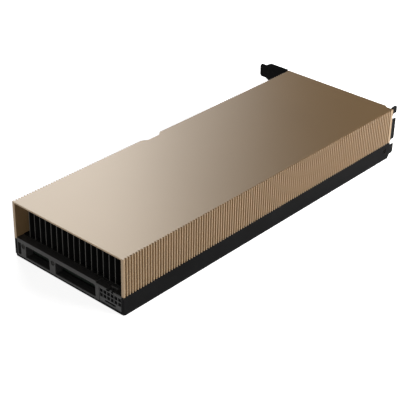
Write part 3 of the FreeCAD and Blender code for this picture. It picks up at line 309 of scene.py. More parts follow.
BLACK_OXIDE = Finish(
    "black_oxide_screw", "black_screw", (0.03, 0.03, 0.031), (0.02, 0.02, 0.021),
    metallic=0.7, roughness=0.38, patch=0.002, grain=0.0002, depth=0.000004)
PLAIN_SCREW = Finish(
    "plain_steel_screw", "steel_screw", (0.55, 0.55, 0.55), (0.46, 0.46, 0.47),
    metallic=1.0, roughness=0.3, patch=0.002, grain=0.0002, depth=0.000004)
# The inserts' colour is darkened to a painted shade, so that they read as shadowed holes.
INSERT_PAINTED_SHADE = Finish(
    "turned_insert_painted_shade", "insert_metal", (0.05, 0.048, 0.045), (0.035, 0.034, 0.032),
    metallic=1.0, roughness=0.3, patch=0.001, grain=0.0001, depth=0.000002)
HEADER_NYLON = Finish(
    "header_nylon", "header_plastic", (0.026, 0.026, 0.026), (0.020, 0.020, 0.020),
    roughness=0.5, swing=0.08, specular=0.35, patch=0.004, grain=0.0003, depth=0.00001)
BLACK_BRACKET = Finish(
    "black_coated_bracket", "bracket_steel", (0.006, 0.006, 0.0062), (0.0045, 0.0045, 0.0047),
    roughness=0.7, swing=0.07, specular=0.06, grain=0.0004, depth=0.000012)

# CAD nodes whose shape stays as it is, with the finish that each one gets.
PLAIN_NODES: dict[str, Finish] = {
    "insulating_film": DARK_FILM,
    "package_substrate": PACKAGE_LAMINATE,
    "processor_die": POLISHED_SILICON,
    "memory_stacks": POLISHED_SILICON,
    "package_stiffener": NICKEL_PLATED,
    "thermal_paste": THERMAL_PASTE,
    "inductors": PRESSED_FERRITE,
    "power_stages": MOULDED_CHIP,
    "thermal_pads": SOFT_PAD,
    "capacitors": BARE_CAN,
    "controller_chips": MOULDED_CHIP,
    "edge_contacts": GOLD_PLATING,
    "power_contacts": CONTACT_PAINTED_SHADE,
    "sense_contacts": CONTACT_PAINTED_SHADE,
}


# ---------------------------------------------------------------- modelling steps

# A point's place, an edge's two ends and the angle across it, and a face's middle and normal.
ELEMENT_FACTS: dict[str, Callable[..., tuple]] = {
    "verts": lambda vert: (vert.co,),
    "edges": lambda edge: (edge.verts[0].co, edge.verts[1].co, edge.calc_face_angle(0.0)),
    "faces": lambda face: (face.calc_center_median(), face.normal),
}


def make_active(piece: bpy.types.Object) -> None:
    """Select one piece alone and make it active, as an operator acts on all that is selected.

    Args:
        piece: the piece.
    """
    bpy.ops.object.select_all(action="DESELECT")
    piece.select_set(True)
    bpy.context.view_layer.objects.active = piece


def settle(piece: bpy.types.Object) -> None:
    """Move a piece's place, turn and scale into its mesh."""
    make_active(piece)
    bpy.ops.object.transform_apply(location=True, rotation=True, scale=True)


def add_box(name: str, low: Vector, high: Vector) -> bpy.types.Object:
    """Add a box between two corners.

    Args:
        name: the piece's name.
        low: the lowest corner.
        high: the highest corner.

    Returns:
        The box, at the origin with its place in its mesh.
    """
    bpy.ops.mesh.primitive_cube_add(size=1.0, location=(low + high) / 2.0)
    piece = bpy.context.object
    piece.name = name
    piece.scale = high - low
    settle(piece)
    return piece


@contextmanager
def editing(piece: bpy.types.Object, kind: str = "FACE") -> Iterator[None]:
    """Open a piece for editing with nothing selected, and close it again.

    Args:
        piece: the piece to edit.
        kind: VERT, EDGE or FACE, for what is selected.

    Yields:
        Nothing.
    """
    make_active(piece)
    bpy.ops.object.mode_set(mode="EDIT")
    bpy.ops.mesh.select_mode(type=kind)
    bpy.ops.mesh.select_all(action="DESELECT")
    yield
    bpy.ops.object.mode_set(mode="OBJECT")


def pick(piece: bpy.types.Object, kind: str, test: Callable[..., bool]) -> int:
    """Select the parts of a piece's mesh that pass a test.

    Args:
        piece: the piece that is open for editing.
        kind: verts, edges or faces.
        test: takes what ELEMENT_FACTS gives for the kind.

    Returns:
        How many were picked.
    """
    mesh = bmesh.from_edit_mesh(piece.data)
    mesh.normal_update()
    elements = {"verts": mesh.verts, "edges": mesh.edges, "faces": mesh.faces}
    picked = 0
    for element in elements[kind]:
        wanted = test(*ELEMENT_FACTS[kind](element))
        element.select_set(wanted)
        picked += wanted
    bmesh.update_edit_mesh(piece.data)
    return picked


def round_edges(piece: bpy.types.Object, radius: float, test: EdgeTest, steps: int = 2) -> None:
    """Round the edges that pass a test.

    Args:
        piece: the piece.
        radius: how far the round reaches from the edge.
        test: takes both ends and the angle between the edge's faces.
        steps: how many strips the round has.
    """
    with editing(piece, "EDGE"):
        if pick(piece, "edges", test):
            bpy.ops.mesh.bevel(offset=radius, segments=steps, affect="EDGES", clamp_overlap=False)


def sharp_and_long(long: float) -> EdgeTest:
    """Return the test that picks sharp edges over a length."""
    limit = math.radians(SHARP_ANGLE)
    return lambda first, second, angle: angle > limit and (first - second).length > long


def merged_copy(node: str) -> bpy.types.Object:
    """Copy a CAD node as a closed mesh of whole flat faces.

    Args:
        node: the CAD node.

    Returns:
        The copy, at the origin with its place in its mesh.
    """
    piece = bpy.data.objects.new(node + "_dressed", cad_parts[node].data.copy())
    bpy.context.scene.collection.objects.link(piece)
    piece.data.materials.clear()
    with editing(piece, "VERT"):
        bpy.ops.mesh.select_all(action="SELECT")
        bpy.ops.mesh.remove_doubles(threshold=TINY)
        bpy.ops.mesh.dissolve_limited(angle_limit=math.radians(FLAT_ANGLE))
    return piece


def finish_piece(piece: bpy.types.Object, finish: Finish, node: str) -> None:
    """Smooth a finished piece, give it its finish and set it on the card.

    Args:
        piece: the finished piece.
        finish: its finish.
        node: the CAD node that it stands for.
    """
    make_active(piece)
    bpy.ops.object.shade_smooth_by_angle(angle=math.radians(SMOOTH_ANGLE))
    even = piece.modifiers.new("even_faces", "WEIGHTED_NORMAL")
    even.keep_sharp = True
    bpy.ops.object.modifier_apply(modifier=even.name)
    piece.data.materials.clear()
    piece.data.materials.append(finish.material())
    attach(piece, BODY)
    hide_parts(node)
    LOG.info("%s: %d faces, %s", piece.name, len(piece.data.polygons), finish.name)


def join_pieces(piece: bpy.types.Object, other: bpy.types.Object) -> None:
    """Join another mesh to a piece, which keeps its name.

    Args:
        piece: the piece that takes in the other.
        other: the mesh that is joined to it.
    """
    make_active(piece)
    other.select_set(True)
    bpy.ops.object.join()


def copy_to(piece: bpy.types.Object, name: str, step: Vector) -> bpy.types.Object:
    """Copy a piece with its own mesh and move the copy's points.

    Args:
        piece: the piece to copy.
        name: the copy's name.
        step: how far the copy is moved.

    Returns:
        The copy, at the origin with its place in its mesh.
    """
    copy = bpy.data.objects.new(name, piece.data.copy())
    copy.data.transform(Matrix.Translation(step))
    bpy.context.scene.collection.objects.link(copy)
    return copy


def spin_profile(name: str, profile: list[tuple[float, float]], steps: int) -> bpy.types.Object:
    """Spin a profile round the Z axis into a closed shape.

    Args:
        name: the piece's name.
        profile: radius and height of each point, in order.
        steps: how many steps stand for the circle.

    Returns:
        The spun shape.
    """
    bpy.ops.mesh.primitive_plane_add(size=1.0, location=(0.0, 0.0, 0.0))
    piece = bpy.context.object
    piece.name = name
    with editing(piece, "VERT"):
        mesh = bmesh.from_edit_mesh(piece.data)
        bmesh.ops.delete(mesh, geom=list(mesh.verts), context="VERTS")
        points = [mesh.verts.new((radius, 0.0, height)) for radius, height in profile]
        for first, second in zip(points, points[1:]):
            mesh.edges.new((first, second))
        bmesh.update_edit_mesh(piece.data)
        bpy.ops.mesh.select_all(action="SELECT")
        bpy.ops.mesh.spin(
            steps=steps, angle=math.tau, center=(0, 0, 0), axis=(0, 0, 1), use_auto_merge=True)
        bpy.ops.mesh.select_all(action="SELECT")
        bpy.ops.mesh.remove_doubles(threshold=2.0 * TINY)
        bpy.ops.mesh.normals_make_consistent(inside=False)
    return piece


# ---------------------------------------------------------------- the card's pieces


@dataclass
class SoftenedPart:
    """A part of the card whose sharp edges are broken, as after deburring and coating.

    Args:
        node: the CAD node that it stands for.
        finish: its finish.
        edge: how far its edges are rounded, in metres.
        shortest: the shortest edge that is rounded, in metres.
    """

    node: str
    finish: Finish
    edge: float = 0.12 * MM
    shortest: float = 0.7 * MM

    def build(self) -> None:
        """Copy the node's shape and round its edges."""
        piece = merged_copy(self.node)
        round_edges(piece, self.edge, sharp_and_long(self.shortest))
        finish_piece(piece, self.finish, self.node)


@dataclass
class FinPack:
    """The upright fins between the side walls, all cut from one sheet.

    Args:
        count: how many fins there are.
        corner: how far the upper corners are cut off.
        edge: how far the sheet's edges are rounded.
        shortest: the shortest edge that is rounded.
        end_slope: least part of a normal along the fin that makes a face part of its cut end.
    """

    count: int = 17
    corner: float = 1.0 * MM
    edge: float = 0.14 * MM
    shortest: float = 0.2 * MM
    end_slope: float = 0.6

    def build(self) -> None:
        """Model the first fin and copy it into every groove."""
        low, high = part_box("fin_01")
        pattern = add_box("fin_pattern", low, high)
        top = high.z - self.edge
        round_edges(
            pattern, self.corner,
            lambda first, second, angle: min(first.z, second.z) > top
            and abs(first.x - second.x) < self.edge, steps=1)
        round_edges(pattern, self.edge, sharp_and_long(self.shortest))
        for number in range(1, self.count + 1):
            node = "fin_%02d" % number
            fin = copy_to(pattern, "cooling_" + node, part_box(node)[0] - low)
            finish_piece(fin, DARK_FIN, node)
            self.thin_coat_and_highlight(fin)
        bpy.data.objects.remove(pattern)

    def thin_coat_and_highlight(self, fin: bpy.types.Object) -> None:
        """Give a fin's cut ends a paler colour: partly a coating that runs thin at an edge, partly a
        painted highlight.

        Args:
            fin: the finished fin.
        """
        fin.data.materials.append(CUT_FIN_EDGE_AND_HIGHLIGHT.material())
        with editing(fin, "FACE"):
            pick(fin, "faces", lambda place, normal: abs(normal.x) > self.end_slope)
            fin.active_material_index = 1
            bpy.ops.object.material_slot_assign()


@dataclass
class PowerHeader:
    """The power inlet's housing: two rows of cells over a slot for the sideband pins.

    Args:
        columns: cells in a row.
        pitch: from one cell to the next.
        cell: width of a cell.
        cell_depth: how deep the cells go.
        middle: from the card's long edge to the header's middle.
        top: height of the housing without its latch nub.
        upper_row: height of the upper row's middle.
        sense_height: height of the sideband slot's middle.
        sense_width: width of the sideband slot.
        sense_tall: height of the sideband slot.
        nub_width: width of the latch nub.
        nub_length: length of the nub.
        nub_foot: how far the nub reaches into the housing.
        nub_nose: how far its upper rear edge is cut back.
        nub_edge: how far its other edges are rounded.
        nub_shortest: the shortest edge of it that is rounded.
        mouth: how far the cells flare at their mouths.
    """

    columns: int = 6
    pitch: float = 3.0 * MM
    cell: float = 2.3 * MM
    cell_depth: float = 9.0 * MM
    middle: float = 11.6 * MM
    top: float = 10.8 * MM
    upper_row: float = 8.95 * MM
    sense_height: float = 3.1 * MM
    sense_width: float = 8.6 * MM
    sense_tall: float = 1.1 * MM
    nub_width: float = 1.6 * MM
    nub_length: float = 2.4 * MM
    nub_foot: float = 0.2 * MM
    nub_nose: float = 0.8 * MM
    nub_edge: float = 0.08 * MM
    nub_shortest: float = 0.2 * MM
    mouth: float = 0.16 * MM

    def cell_spans(self, centre: float) -> list[tuple[float, float]]:
        """Return the start and end of each cell along Y.

        Args:
            centre: the middle of the row of cells.

        Returns:
            One pair for each cell.
        """
        first = centre - (self.columns - 1) / 2.0 * self.pitch
        half = self.cell / 2.0
        return [
            (first + number * self.pitch - half, first + number * self.pitch + half)
            for number in range(self.columns)
        ]

    def build(self) -> None:
        """Cut the cells and the slot into a block and set the latch nub on it."""
        low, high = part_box("power_header")
        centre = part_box("shroud")[0].y + self.middle
        block_top = high.copy()
        block_top.z = self.top
        piece = add_box("power_inlet_housing", low, block_top)
        self.cut_openings(piece, low.x, centre)
        sharp = math.radians(SHARP_ANGLE)
        round_edges(
            piece, self.mouth,
            lambda first, second, angle: angle > sharp and max(first.x, second.x) < low.x + TINY
            and low.y + TINY < (first.y + second.y) / 2 < high.y - TINY
            and low.z + TINY < (first.z + second.z) / 2 < self.top - TINY, steps=1)
        nub = self.model_nub(low.x, high.z, centre)
        join_pieces(piece, nub)
        finish_piece(piece, HEADER_NYLON, "power_header")

    def cut_openings(self, piece: bpy.types.Object, face_x: float, centre: float) -> None:
        """Divide the block along every cell and the slot, and push their faces in.

        Args:
            piece: the block.
            face_x: where its open face lies.
            centre: the middle of its cells along Y.
        """
        spans = self.cell_spans(centre)
        half = self.cell / 2.0
        middles = (self.upper_row, self.upper_row - self.pitch)
        rows = [(middle - half, middle + half) for middle in middles]
        slot = (centre - self.sense_width / 2.0, centre + self.sense_width / 2.0)
        slot_rows = (
            self.sense_height - self.sense_tall / 2.0, self.sense_height + self.sense_tall / 2.0)
        across = sorted({part for span in [*spans, slot] for part in span})
        up = sorted({part for row in [*rows, slot_rows] for part in row})

        def on_face(place: Vector, normal: Vector) -> bool:
            """Tell whether a face is part of the open face."""
            return normal.x < -SQUARE and abs(place.x - face_x) < TINY

        def in_cell(place: Vector, normal: Vector) -> bool:
            """Tell whether a face closes a cell."""
            return (
                on_face(place, normal)
                and any(start < place.y < end for start, end in spans)
                and any(start < place.z < end for start, end in rows))

        def in_slot(place: Vector, normal: Vector) -> bool:
            """Tell whether a face closes the sideband slot."""
            return (
                on_face(place, normal) and slot[0] < place.y < slot[1]
                and slot_rows[0] < place.z < slot_rows[1])

        with editing(piece, "FACE"):
            for direction, cuts in ((Axis.Y, across), (Axis.Z, up)):
                for cut in cuts:
                    bpy.ops.mesh.select_all(action="SELECT")
                    bpy.ops.mesh.bisect(
                        plane_co=direction.unit() * cut, plane_no=direction.unit(),
                        threshold=TINY / 10.0)
            for test in (in_cell, in_slot):
                pick(piece, "faces", test)
                bpy.ops.mesh.extrude_region_move(
                    TRANSFORM_OT_translate={"value": (self.cell_depth, 0.0, 0.0)})

    def model_nub(self, face_x: float, top: float, centre: float) -> bpy.types.Object:
        """Model the nub that the plug's latch catches.

        Args:
            face_x: where the housing's open face lies.
            top: height of the nub's top.
            centre: the middle of the housing along Y.

        Returns:
            The nub.
        """
        side = self.nub_width / 2.0
        nub = add_box(
            "latch_nub", Vector((face_x, centre - side, self.top - self.nub_foot)),
            Vector((face_x + self.nub_length, centre + side, top)))
        round_edges(
            nub, self.nub_nose,
            lambda first, second, angle: max(first.x, second.x) < face_x + TINY
            and min(first.z, second.z) > top - TINY, steps=1)
        round_edges(nub, self.nub_edge, sharp_and_long(self.nub_shortest))
        return nub


@dataclass
class TurnedPart:
    """A turned part, of which the card has several alike.

    Args:
        node: the CAD node that they stand for.
        name: what each of them is called.
        finish: their finish.
        places: the middle of each one's outer face.
        axis: the axis that they run along.
        sign: 1 where they go in along the axis, -1 where against it.
    """

    node: str
    name: str
    finish: Finish
    places: list[Vector]
    axis: Axis
    sign: float

    def build(self) -> None:
        """Model one part and set a copy of it at every place."""
        pattern = self.model_one()
        turn = Axis.Z.unit().rotation_difference(self.axis.unit(self.sign))
        pattern.data.transform(turn.to_matrix().to_4x4())
        for number, place in enumerate(self.places, start=1):
            piece = copy_to(pattern, "%s_%d" % (self.name, number), place)
            finish_piece(piece, self.finish, self.node)
        bpy.data.objects.remove(pattern)

    def model_one(self) -> bpy.types.Object:
        """Model one part, pointing up from the origin, in the way of its own kind."""
        raise NotImplementedError


@dataclass
class ScrewKind(TurnedPart):
    """One kind of screw: a low round head with a recess, and a threaded shank.

    Args:
        tall: from the head's outer face to the tip.
        head_radius: radius of the head.
        head_height: height of the head.
        shank_radius: outer radius of the thread.
        drive: the recess in the head.
        recess: radius of the recess.
        recess_depth: how deep the recess goes.
        recess_draft: how much of the recess's outline is left at its floor.
        rim_round: how far the head's rim is rounded.
        rim_share: the most of the head's height that the round takes.
        sides: how many sides stand for the head's circle.
        turns: how many steps stand for the shank's circle.
        thread_pitch: from one turn of the thread to the next.
        neck: plain part between the head and the thread.
        run_out: plain part between the thread and the tip.
        point: how far the tip is cut back all round.
    """

    tall: float
    head_radius: float
    head_height: float = 0.8 * MM
    shank_radius: float = 1.25 * MM
    drive: Drive = Drive.STAR
    recess: float = 1.1 * MM
    recess_depth: float = 0.5 * MM
    recess_draft: float = 0.85
    rim_round: float = 0.25 * MM
    rim_share: float = 0.4
    sides: int = 48
    turns: int = 20
    thread_pitch: float = 0.45 * MM
    neck: float = 0.1 * MM
    run_out: float = 0.3 * MM
    point: float = 0.2 * MM

    def model_one(self) -> bpy.types.Object:
        """Model the head with its recess, and join the shank to it.

        Returns:
            The screw, with its head's outer face at the origin.
        """
        bpy.ops.mesh.primitive_cylinder_add(
            vertices=self.sides, radius=self.head_radius, depth=self.head_height,
            location=(0.0, 0.0, self.head_height / 2.0))
        head = bpy.context.object
        settle(head)
        with editing(head, "FACE"):
            pick(head, "faces", lambda place, normal: normal.z < -SQUARE)
            bpy.ops.mesh.inset(thickness=self.head_radius - self.recess)
        self.shape_recess(head)
        halfway = (self.recess + self.head_radius) / 2.0
        round_edges(
            head, min(self.rim_round, self.head_height * self.rim_share),
            lambda first, second, angle: max(first.z, second.z) < TINY
            and min(first.xy.length, second.xy.length) > halfway, steps=3)
        join_pieces(head, self.model_shank())
        return head

    def shape_recess(self, head: bpy.types.Object) -> None:
        """Turn the head's inner circle into the recess's outline and push it in.

        Args:
            head: the head, with the inner circle on its outer face.
        """
        spacing, gap_start, gap_end, left = self.drive.value
        halfway = (self.recess + self.head_radius) / 2.0

        def between_arms(place: Vector) -> bool:
            """Tell whether a point of the inner circle lies between two arms of the recess."""
            turn = math.degrees(math.atan2(place.y, place.x)) % spacing
            return place.z < TINY and place.xy.length < halfway and gap_start < turn < gap_end

        def in_outline(place: Vector, normal: Vector) -> bool:
            """Tell whether a face is the one inside the outline."""
            return normal.z < -SQUARE and place.xy.length < self.recess / 2.0

        with editing(head, "VERT"):
            pick(head, "verts", between_arms)
            bpy.ops.transform.resize(value=(left, left, 1.0), center_override=(0, 0, 0))
        with editing(head, "FACE"):
            pick(head, "faces", in_outline)
            bpy.ops.mesh.extrude_region_move(
                TRANSFORM_OT_translate={"value": (0.0, 0.0, self.recess_depth)})
            draft = self.recess_draft
            bpy.ops.transform.resize(value=(draft, draft, 1.0), center_override=(0, 0, 0))

    def model_shank(self) -> bpy.types.Object:
        """Spin the thread's profile round the screw's axis.

        Returns:
            The shank, from the middle of the head to its tip.
        """
        start = self.head_height / 2.0
        pitch = self.thread_pitch
        root = self.shank_radius - pitch / 2.0
        height = self.head_height + self.neck
        profile = [(0.0, start), (root, start), (root, height)]
        while height + pitch < self.tall - self.run_out:
            profile += [(self.shank_radius, height + pitch / 2.0), (root, height + pitch)]
            height += pitch
        tip = root - self.point
        profile += [(root, self.tall - self.point), (tip, self.tall), (0.0, self.tall)]
        return spin_profile("shank", profile, self.turns)


@dataclass
class ThreadedInsert(TurnedPart):
    """A turned bush with a threaded bore.

    Args:
        radius: outer radius.
        length: length of the bush.
        bore: radius of the bore.
        thread_pitch: from one turn of the thread to the next.
        thread_depth: depth of the thread, as a part of its pitch.
        lip: how far the bore flares at its ends.
        edge: how far the outer edges are cut back.
        turns: how many steps stand for the circle.
    """

    radius: float
    length: float
    bore: float = 1.25 * MM
    thread_pitch: float = 0.45 * MM
    thread_depth: float = 0.35
    lip: float = 0.15 * MM
    edge: float = 0.1 * MM
    turns: int = 32

    def model_one(self) -> bpy.types.Object:
        """Spin the bush's profile, with the thread in its bore.

        Returns:
            The bush, with its mouth at the origin.
        """
        mouth = self.bore + self.lip
        shoulder = self.radius - self.edge
        profile = [
            (mouth, 0.0), (shoulder, 0.0), (self.radius, self.edge),
            (self.radius, self.length - self.edge), (shoulder, self.length), (mouth, self.length),
        ]
        pitch = self.thread_pitch
        height = self.length - self.lip
        while height > self.lip + pitch:
            profile.append((self.bore, height))
            profile.append((self.bore + pitch * self.thread_depth, height - pitch / 2.0))
            height -= pitch
        profile += [(self.bore, self.lip), profile[0]]
        return spin_profile("insert_pattern", profile, self.turns)


# ---------------------------------------------------------------- the studio


@dataclass
class Camera:
    """The camera at the card's rear corner.

    Args:
        target: the point that it looks at.
        turn: its angle round the card in plan, in degrees from -Y towards +X.
        rise: its angle above the floor, in degrees.
        roll: how far it leans, in degrees.
        distance: how far away it stands.
        lens: focal length, in millimetres.
        sensor: width of the sensor, in millimetres.
        nearest: the nearest thing that it can see.
    """

    target: Triple = (-29.45 * MM, -11.7 * MM, 19.0 * MM)
    turn: float = -48.62
    rise: float = 30.12
    roll: float = 1.14
    distance: float = 762.9 * MM
    lens: float = 107.27
    sensor: float = 36.0
    nearest: float = 10.0 * MM

    def build(self) -> None:
        """Place the camera and make it the scene's own."""
        turn = math.radians(self.turn)
        rise = math.radians(self.rise)
        roll = math.radians(self.roll)
        back = Vector((
            math.sin(turn) * math.cos(rise), -math.cos(turn) * math.cos(rise), math.sin(rise)))
        level = Vector((math.cos(turn), math.sin(turn), 0.0))
        upright = back.cross(level)
        right = math.cos(roll) * level + math.sin(roll) * upright
        up = math.cos(roll) * upright - math.sin(roll) * level
        data = bpy.data.cameras.new("card_camera")
        data.lens = self.lens
        data.sensor_width = self.sensor
        data.clip_start = self.nearest
        camera = bpy.data.objects.new("card_camera", data)
        place = Matrix((right, up, back)).transposed().to_4x4()
        place.translation = Vector(self.target) + back * self.distance
        camera.matrix_world = place
        bpy.context.scene.collection.objects.link(camera)
        bpy.context.scene.camera = camera


@dataclass
class Hanging:
    """Something that hangs round the card and faces it.

    Args:
        name: what it is called.
        turn: its direction from the card in plan, in degrees from +X towards +Y.
        rise: its angle above the floor, in degrees.
        distance: how far away it hangs.
        size: its width and height.
    """

    name: str
    turn: float
    rise: float
    distance: float
    size: tuple[float, float]

    def outward(self) -> Vector:
        """Return the direction from the card towards it.

        Returns:
            The unit vector.
        """
        turn = math.radians(self.turn)
        rise = math.radians(self.rise)
        level = math.cos(rise)
        return Vector((math.cos(turn) * level, math.sin(turn) * level, math.sin(rise)))


@dataclass
class SoftLamp(Hanging):
    """One soft lamp, aimed at the card.

    Args:
        power: its power, in watts.
        mirrored: whether the card's surfaces mirror it.
        aim: the point that it faces.
    """

    power: float
    mirrored: bool = True
    aim: Triple = (0.0, 0.0, 0.02)

    def build(self) -> None:
        """Hang the lamp and turn it to the card."""
        away = self.outward()
        data = bpy.data.lights.new(self.name, "AREA")
        data.shape = "RECTANGLE"
        data.size, data.size_y = self.size
        data.energy = self.power
        lamp = bpy.data.objects.new(self.name, data)
        lamp.location = Vector(self.aim) + away * self.distance
        lamp.rotation_euler = away.to_track_quat("Z", "Y").to_euler()
        lamp.visible_glossy = self.mirrored
        bpy.context.scene.collection.objects.link(lamp)


@dataclass
class BlackCloth(Hanging):
    """A black cloth past the bracket end, which keeps the far end of the cover from glaring.

    Only reflections see it: it hides nothing from the camera and takes no light away.
    """

    def build(self) -> None:
        """Hang the cloth, facing the card."""
        away = self.outward()
        bpy.ops.mesh.primitive_plane_add(
            size=1.0, location=away * self.distance,
            rotation=away.to_track_quat("Z", "Y").to_euler())
        cloth = bpy.context.object
        cloth.name = self.name
        cloth.scale = (*self.size, 1.0)
        settle(cloth)
        cloth.visible_camera = False
        cloth.visible_diffuse = False
        cloth.visible_shadow = False
        material = bpy.data.materials.new(self.name)
        material.use_nodes = True
        tree = material.node_tree
        tree.nodes.clear()
        output = tree.nodes.new("ShaderNodeOutputMaterial")
        dull = tree.nodes.new("ShaderNodeBsdfDiffuse")
        dull.inputs["Color"].default_value = (0.0, 0.0, 0.0, 1.0)
        tree.links.new(dull.outputs["BSDF"], output.inputs["Surface"])
        cloth.data.materials.append(material)


@dataclass
class Studio:
    """A pale floor, a pale surround and soft lamps.

    Args:
        floor_size: width of the floor.
        floor_drop: how far the floor lies under the card.
        floor_colour: the floor's own colour.
        floor_lift: light that the floor adds where it is looked at.
        surround: strength of the surround's light on the card.
        cloth: the black cloth.
        lamps: the soft lamps.
    """

    floor_size: float = 6.0
    floor_drop: float = 0.1 * MM
    floor_colour: Colour = (0.80, 0.80, 0.80)
    floor_lift: float = 0.85
    surround: float = 0.1
    cloth: BlackCloth = field(
        default_factory=lambda: BlackCloth("black_cloth", 5.0, 28.0, 1.25, (1.6, 1.3)))
    lamps: list[SoftLamp] = field(default_factory=lambda: [
        SoftLamp("beyond_softbox", 60.0, 34.0, 1.25, (0.49, 0.8), 4.4),
        SoftLamp("edge_strip", 43.0, 34.0, 1.25, (0.24, 0.8), 0.62),
        SoftLamp("rear_lamp", 196.0, 3.0, 0.8, (0.5, 0.08), 2.6, mirrored=False),
        SoftLamp("bracket_lamp", 335.0, 14.0, 0.6, (0.3, 0.2), 3.4, mirrored=False),
        SoftLamp("side_lamp", 290.0, 12.0, 0.7, (0.4, 0.2), 4.9, mirrored=False),
    ])

    def build(self) -> None:
        """Set up the floor, the surround, the cloth and the lamps."""
        scene = bpy.context.scene
        scene.view_settings.view_transform = "Standard"
        self.build_floor()
        self.build_surround()
        self.cloth.build()
        for lamp in self.lamps:
            lamp.build()

    def build_floor(self) -> None:
        """Lay the floor just under the card."""
        bpy.ops.mesh.primitive_plane_add(
            size=self.floor_size, location=(0.0, 0.0, -self.floor_drop))
        floor = bpy.context.object
        floor.name = "pale_floor"
        settle(floor)
        material = bpy.data.materials.new("pale_floor")
        material.use_nodes = True
        tree = material.node_tree
        tree.nodes.clear()
        output = tree.nodes.new("ShaderNodeOutputMaterial")
        plain = tree.nodes.new("ShaderNodeBsdfDiffuse")
        plain.inputs["Color"].default_value = (*self.floor_colour, 1.0)
        lift = tree.nodes.new("ShaderNodeEmission")
        both = tree.nodes.new("ShaderNodeAddShader")
        strength = tree.nodes.new("ShaderNodeMath")
        strength.operation = "MULTIPLY"
        strength.inputs[1].default_value = self.floor_lift
        tree.links.new(self.looked_at(tree), strength.inputs[0])
        tree.links.new(strength.outputs["Value"], lift.inputs["Strength"])
        tree.links.new(plain.outputs["BSDF"], both.inputs[0])
        tree.links.new(lift.outputs["Emission"], both.inputs[1])
        tree.links.new(both.outputs["Shader"], output.inputs["Surface"])
        floor.data.materials.append(material)

    def build_surround(self) -> None:
        """Make the surround white where it is looked at and a plain grey light elsewhere."""
        world = bpy.data.worlds.new("pale_surround")
        bpy.context.scene.world = world
        world.use_nodes = True
        tree = world.node_tree
        tree.nodes.clear()
        output = tree.nodes.new("ShaderNodeOutputWorld")
        light = tree.nodes.new("ShaderNodeBackground")
        light.inputs["Strength"].default_value = self.surround
        white = tree.nodes.new("ShaderNodeBackground")
        white.inputs["Color"].default_value = (1.0, 1.0, 1.0, 1.0)
        white.inputs["Strength"].default_value = 1.0
        mix = tree.nodes.new("ShaderNodeMixShader")
        tree.links.new(self.looked_at(tree), mix.inputs["Fac"])
        tree.links.new(light.outputs["Background"], mix.inputs[1])
        tree.links.new(white.outputs["Background"], mix.inputs[2])
        tree.links.new(mix.outputs["Shader"], output.inputs["Surface"])

    def looked_at(self, tree: bpy.types.NodeTree) -> bpy.types.NodeSocket:
        """Tell rays that are seen, mirrored or seen through from rays that only light.

        Args:
            tree: the nodes of the floor or the surround.

        Returns:
            1 for a camera, glossy or transmission ray, and 0 for the rest.
        """
        path = tree.nodes.new("ShaderNodeLightPath")
        seen = path.outputs["Is Camera Ray"]
        for kind in ("Is Glossy Ray", "Is Transmission Ray"):
            either = tree.nodes.new("ShaderNodeMath")
            either.operation = "MAXIMUM"
            tree.links.new(seen, either.inputs[0])
            tree.links.new(path.outputs[kind], either.inputs[1])
            seen = either.outputs["Value"]
        return seen


# ---------------------------------------------------------------- the whole card


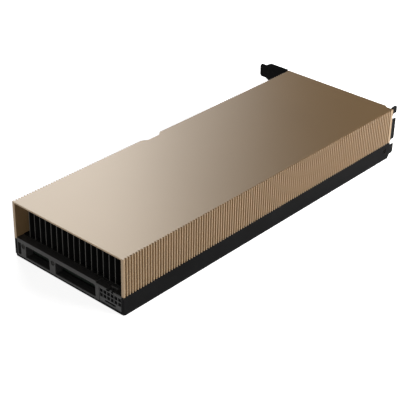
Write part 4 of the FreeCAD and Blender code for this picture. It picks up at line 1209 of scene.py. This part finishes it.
@dataclass
class AcceleratorCard:
    """The whole card: its softened parts, fins, power header, inserts and screws.

    Args:
        softened: the parts whose edges are broken.
        inner_station: from the card's middle to the nearest long screws.
        head: head radius of every screw but the retention screws.
        plate_head: head radius of those.
    """

    softened: list[SoftenedPart] = field(default_factory=lambda: [
        SoftenedPart("shroud", BRONZE_ANODISED, 0.1 * MM),
        SoftenedPart("base_frame", BLACK_COATED_FRAME, 0.2 * MM),
        SoftenedPart("rear_bar", MOULDED_REAR_BAR, 0.2 * MM),
        SoftenedPart("backplate", BLACK_COATED_SHEET, 0.2 * MM),
        SoftenedPart("circuit_board", SOLDER_MASK, 0.08 * MM),
        SoftenedPart("heatsink_base", DARK_HEATSINK),
        SoftenedPart("retention_plate", SPRING_STEEL),
        SoftenedPart("bracket", BLACK_BRACKET),
    ])
    inner_station: float = 40.0 * MM
    head: float = 2.3 * MM
    plate_head: float = 2.8 * MM

    def build(self) -> None:
        """Build and dress every piece of the card."""
        for part in self.softened:
            part.build()
        FinPack().build()
        PowerHeader().build()
        for kind in self.inserts():
            kind.build()
        for kind in self.screws():
            kind.build()
        for node, finish in PLAIN_NODES.items():
            self.dress_node(node, finish)

    def dress_node(self, node: str, finish: Finish) -> None:
        """Give a CAD node its finish.

        Args:
            node: the CAD node.
            finish: its finish.
        """
        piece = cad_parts[node]
        if not piece.material_slots:
            piece.data.materials.append(finish.material())
        for slot in piece.material_slots:
            slot.material = finish.material()
        LOG.info("%s: kept from the frame, %s", node, finish.name)

    def inserts(self) -> list[ThreadedInsert]:
        """Set out the threaded inserts, at the places that the frame gives them.

        Returns:
            The two kinds of insert.
        """
        low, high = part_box("rear_thread_inserts")
        radius = (high.z - low.z) / 2.0
        side_low, side_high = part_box("side_thread_insert")
        side_middle = (side_low + side_high) / 2.0
        return [
            ThreadedInsert(
                "rear_thread_inserts", "rear_insert", INSERT_PAINTED_SHADE,
                [Vector((low.x, along, low.z + radius))
                 for along in (low.y + radius, high.y - radius)],
                Axis.X, 1.0, radius, high.x - low.x),
            ThreadedInsert(
                "side_thread_insert", "side_insert", INSERT_PAINTED_SHADE,
                [Vector((side_middle.x, side_low.y, side_middle.z))],
                Axis.Y, 1.0, radius, side_high.y - side_low.y),
        ]

    def screws(self) -> list[ScrewKind]:
        """Set out the screws, at the places that the frame gives them.

        Returns:
            The four kinds of screw.
        """
        long_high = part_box("long_screws")[1]
        bar_low, bar_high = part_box("rear_bar_screws")
        plate_low, plate_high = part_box("retention_screws")
        bracket_low, bracket_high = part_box("bracket_screws")
        head = self.head
        plate_head = self.plate_head
        inner = self.inner_station
        outer = long_high.x - head
        line = long_high.y - head
        return [
            ScrewKind(
                "long_screws", "long_screw", BLACK_OXIDE,
                [Vector((station, side, 0.0))
                 for side in (-line, line) for station in (-outer, -inner, inner, outer)],
                Axis.Z, 1.0, long_high.z, head),
            ScrewKind(
                "rear_bar_screws", "rear_bar_screw", BLACK_OXIDE,
                [Vector((bar_low.x + head, along, 0.0))
                 for along in (bar_low.y + head, bar_high.y - head)],
                Axis.Z, 1.0, bar_high.z, head),
            ScrewKind(
                "retention_screws", "retention_screw", PLAIN_SCREW,
                [Vector((across, along, plate_low.z))
                 for across in (plate_low.x + plate_head, plate_high.x - plate_head)
                 for along in (plate_low.y + plate_head, plate_high.y - plate_head)],
                Axis.Z, 1.0, plate_high.z - plate_low.z, plate_head, head_height=1.2 * MM,
                shank_radius=1.5 * MM, drive=Drive.CROSS, recess=1.5 * MM, recess_depth=0.8 * MM,
                thread_pitch=0.5 * MM),
            ScrewKind(
                "bracket_screws", "bracket_screw", BLACK_OXIDE,
                [Vector((bracket_high.x, along, bracket_low.z + head))
                 for along in (bracket_low.y + head, 0.0, bracket_high.y - head)],
                Axis.X, -1.0, bracket_high.x - bracket_low.x, head, head_height=1.3 * MM,
                drive=Drive.CROSS, recess=1.3 * MM, recess_depth=0.9 * MM),
        ]


def main() -> None:
    """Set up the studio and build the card."""
    logging.basicConfig(level=logging.INFO, format="%(name)s: %(message)s")
    Camera().build()
    Studio().build()
    AcceleratorCard().build()


if __name__ == "__main__":
    main()
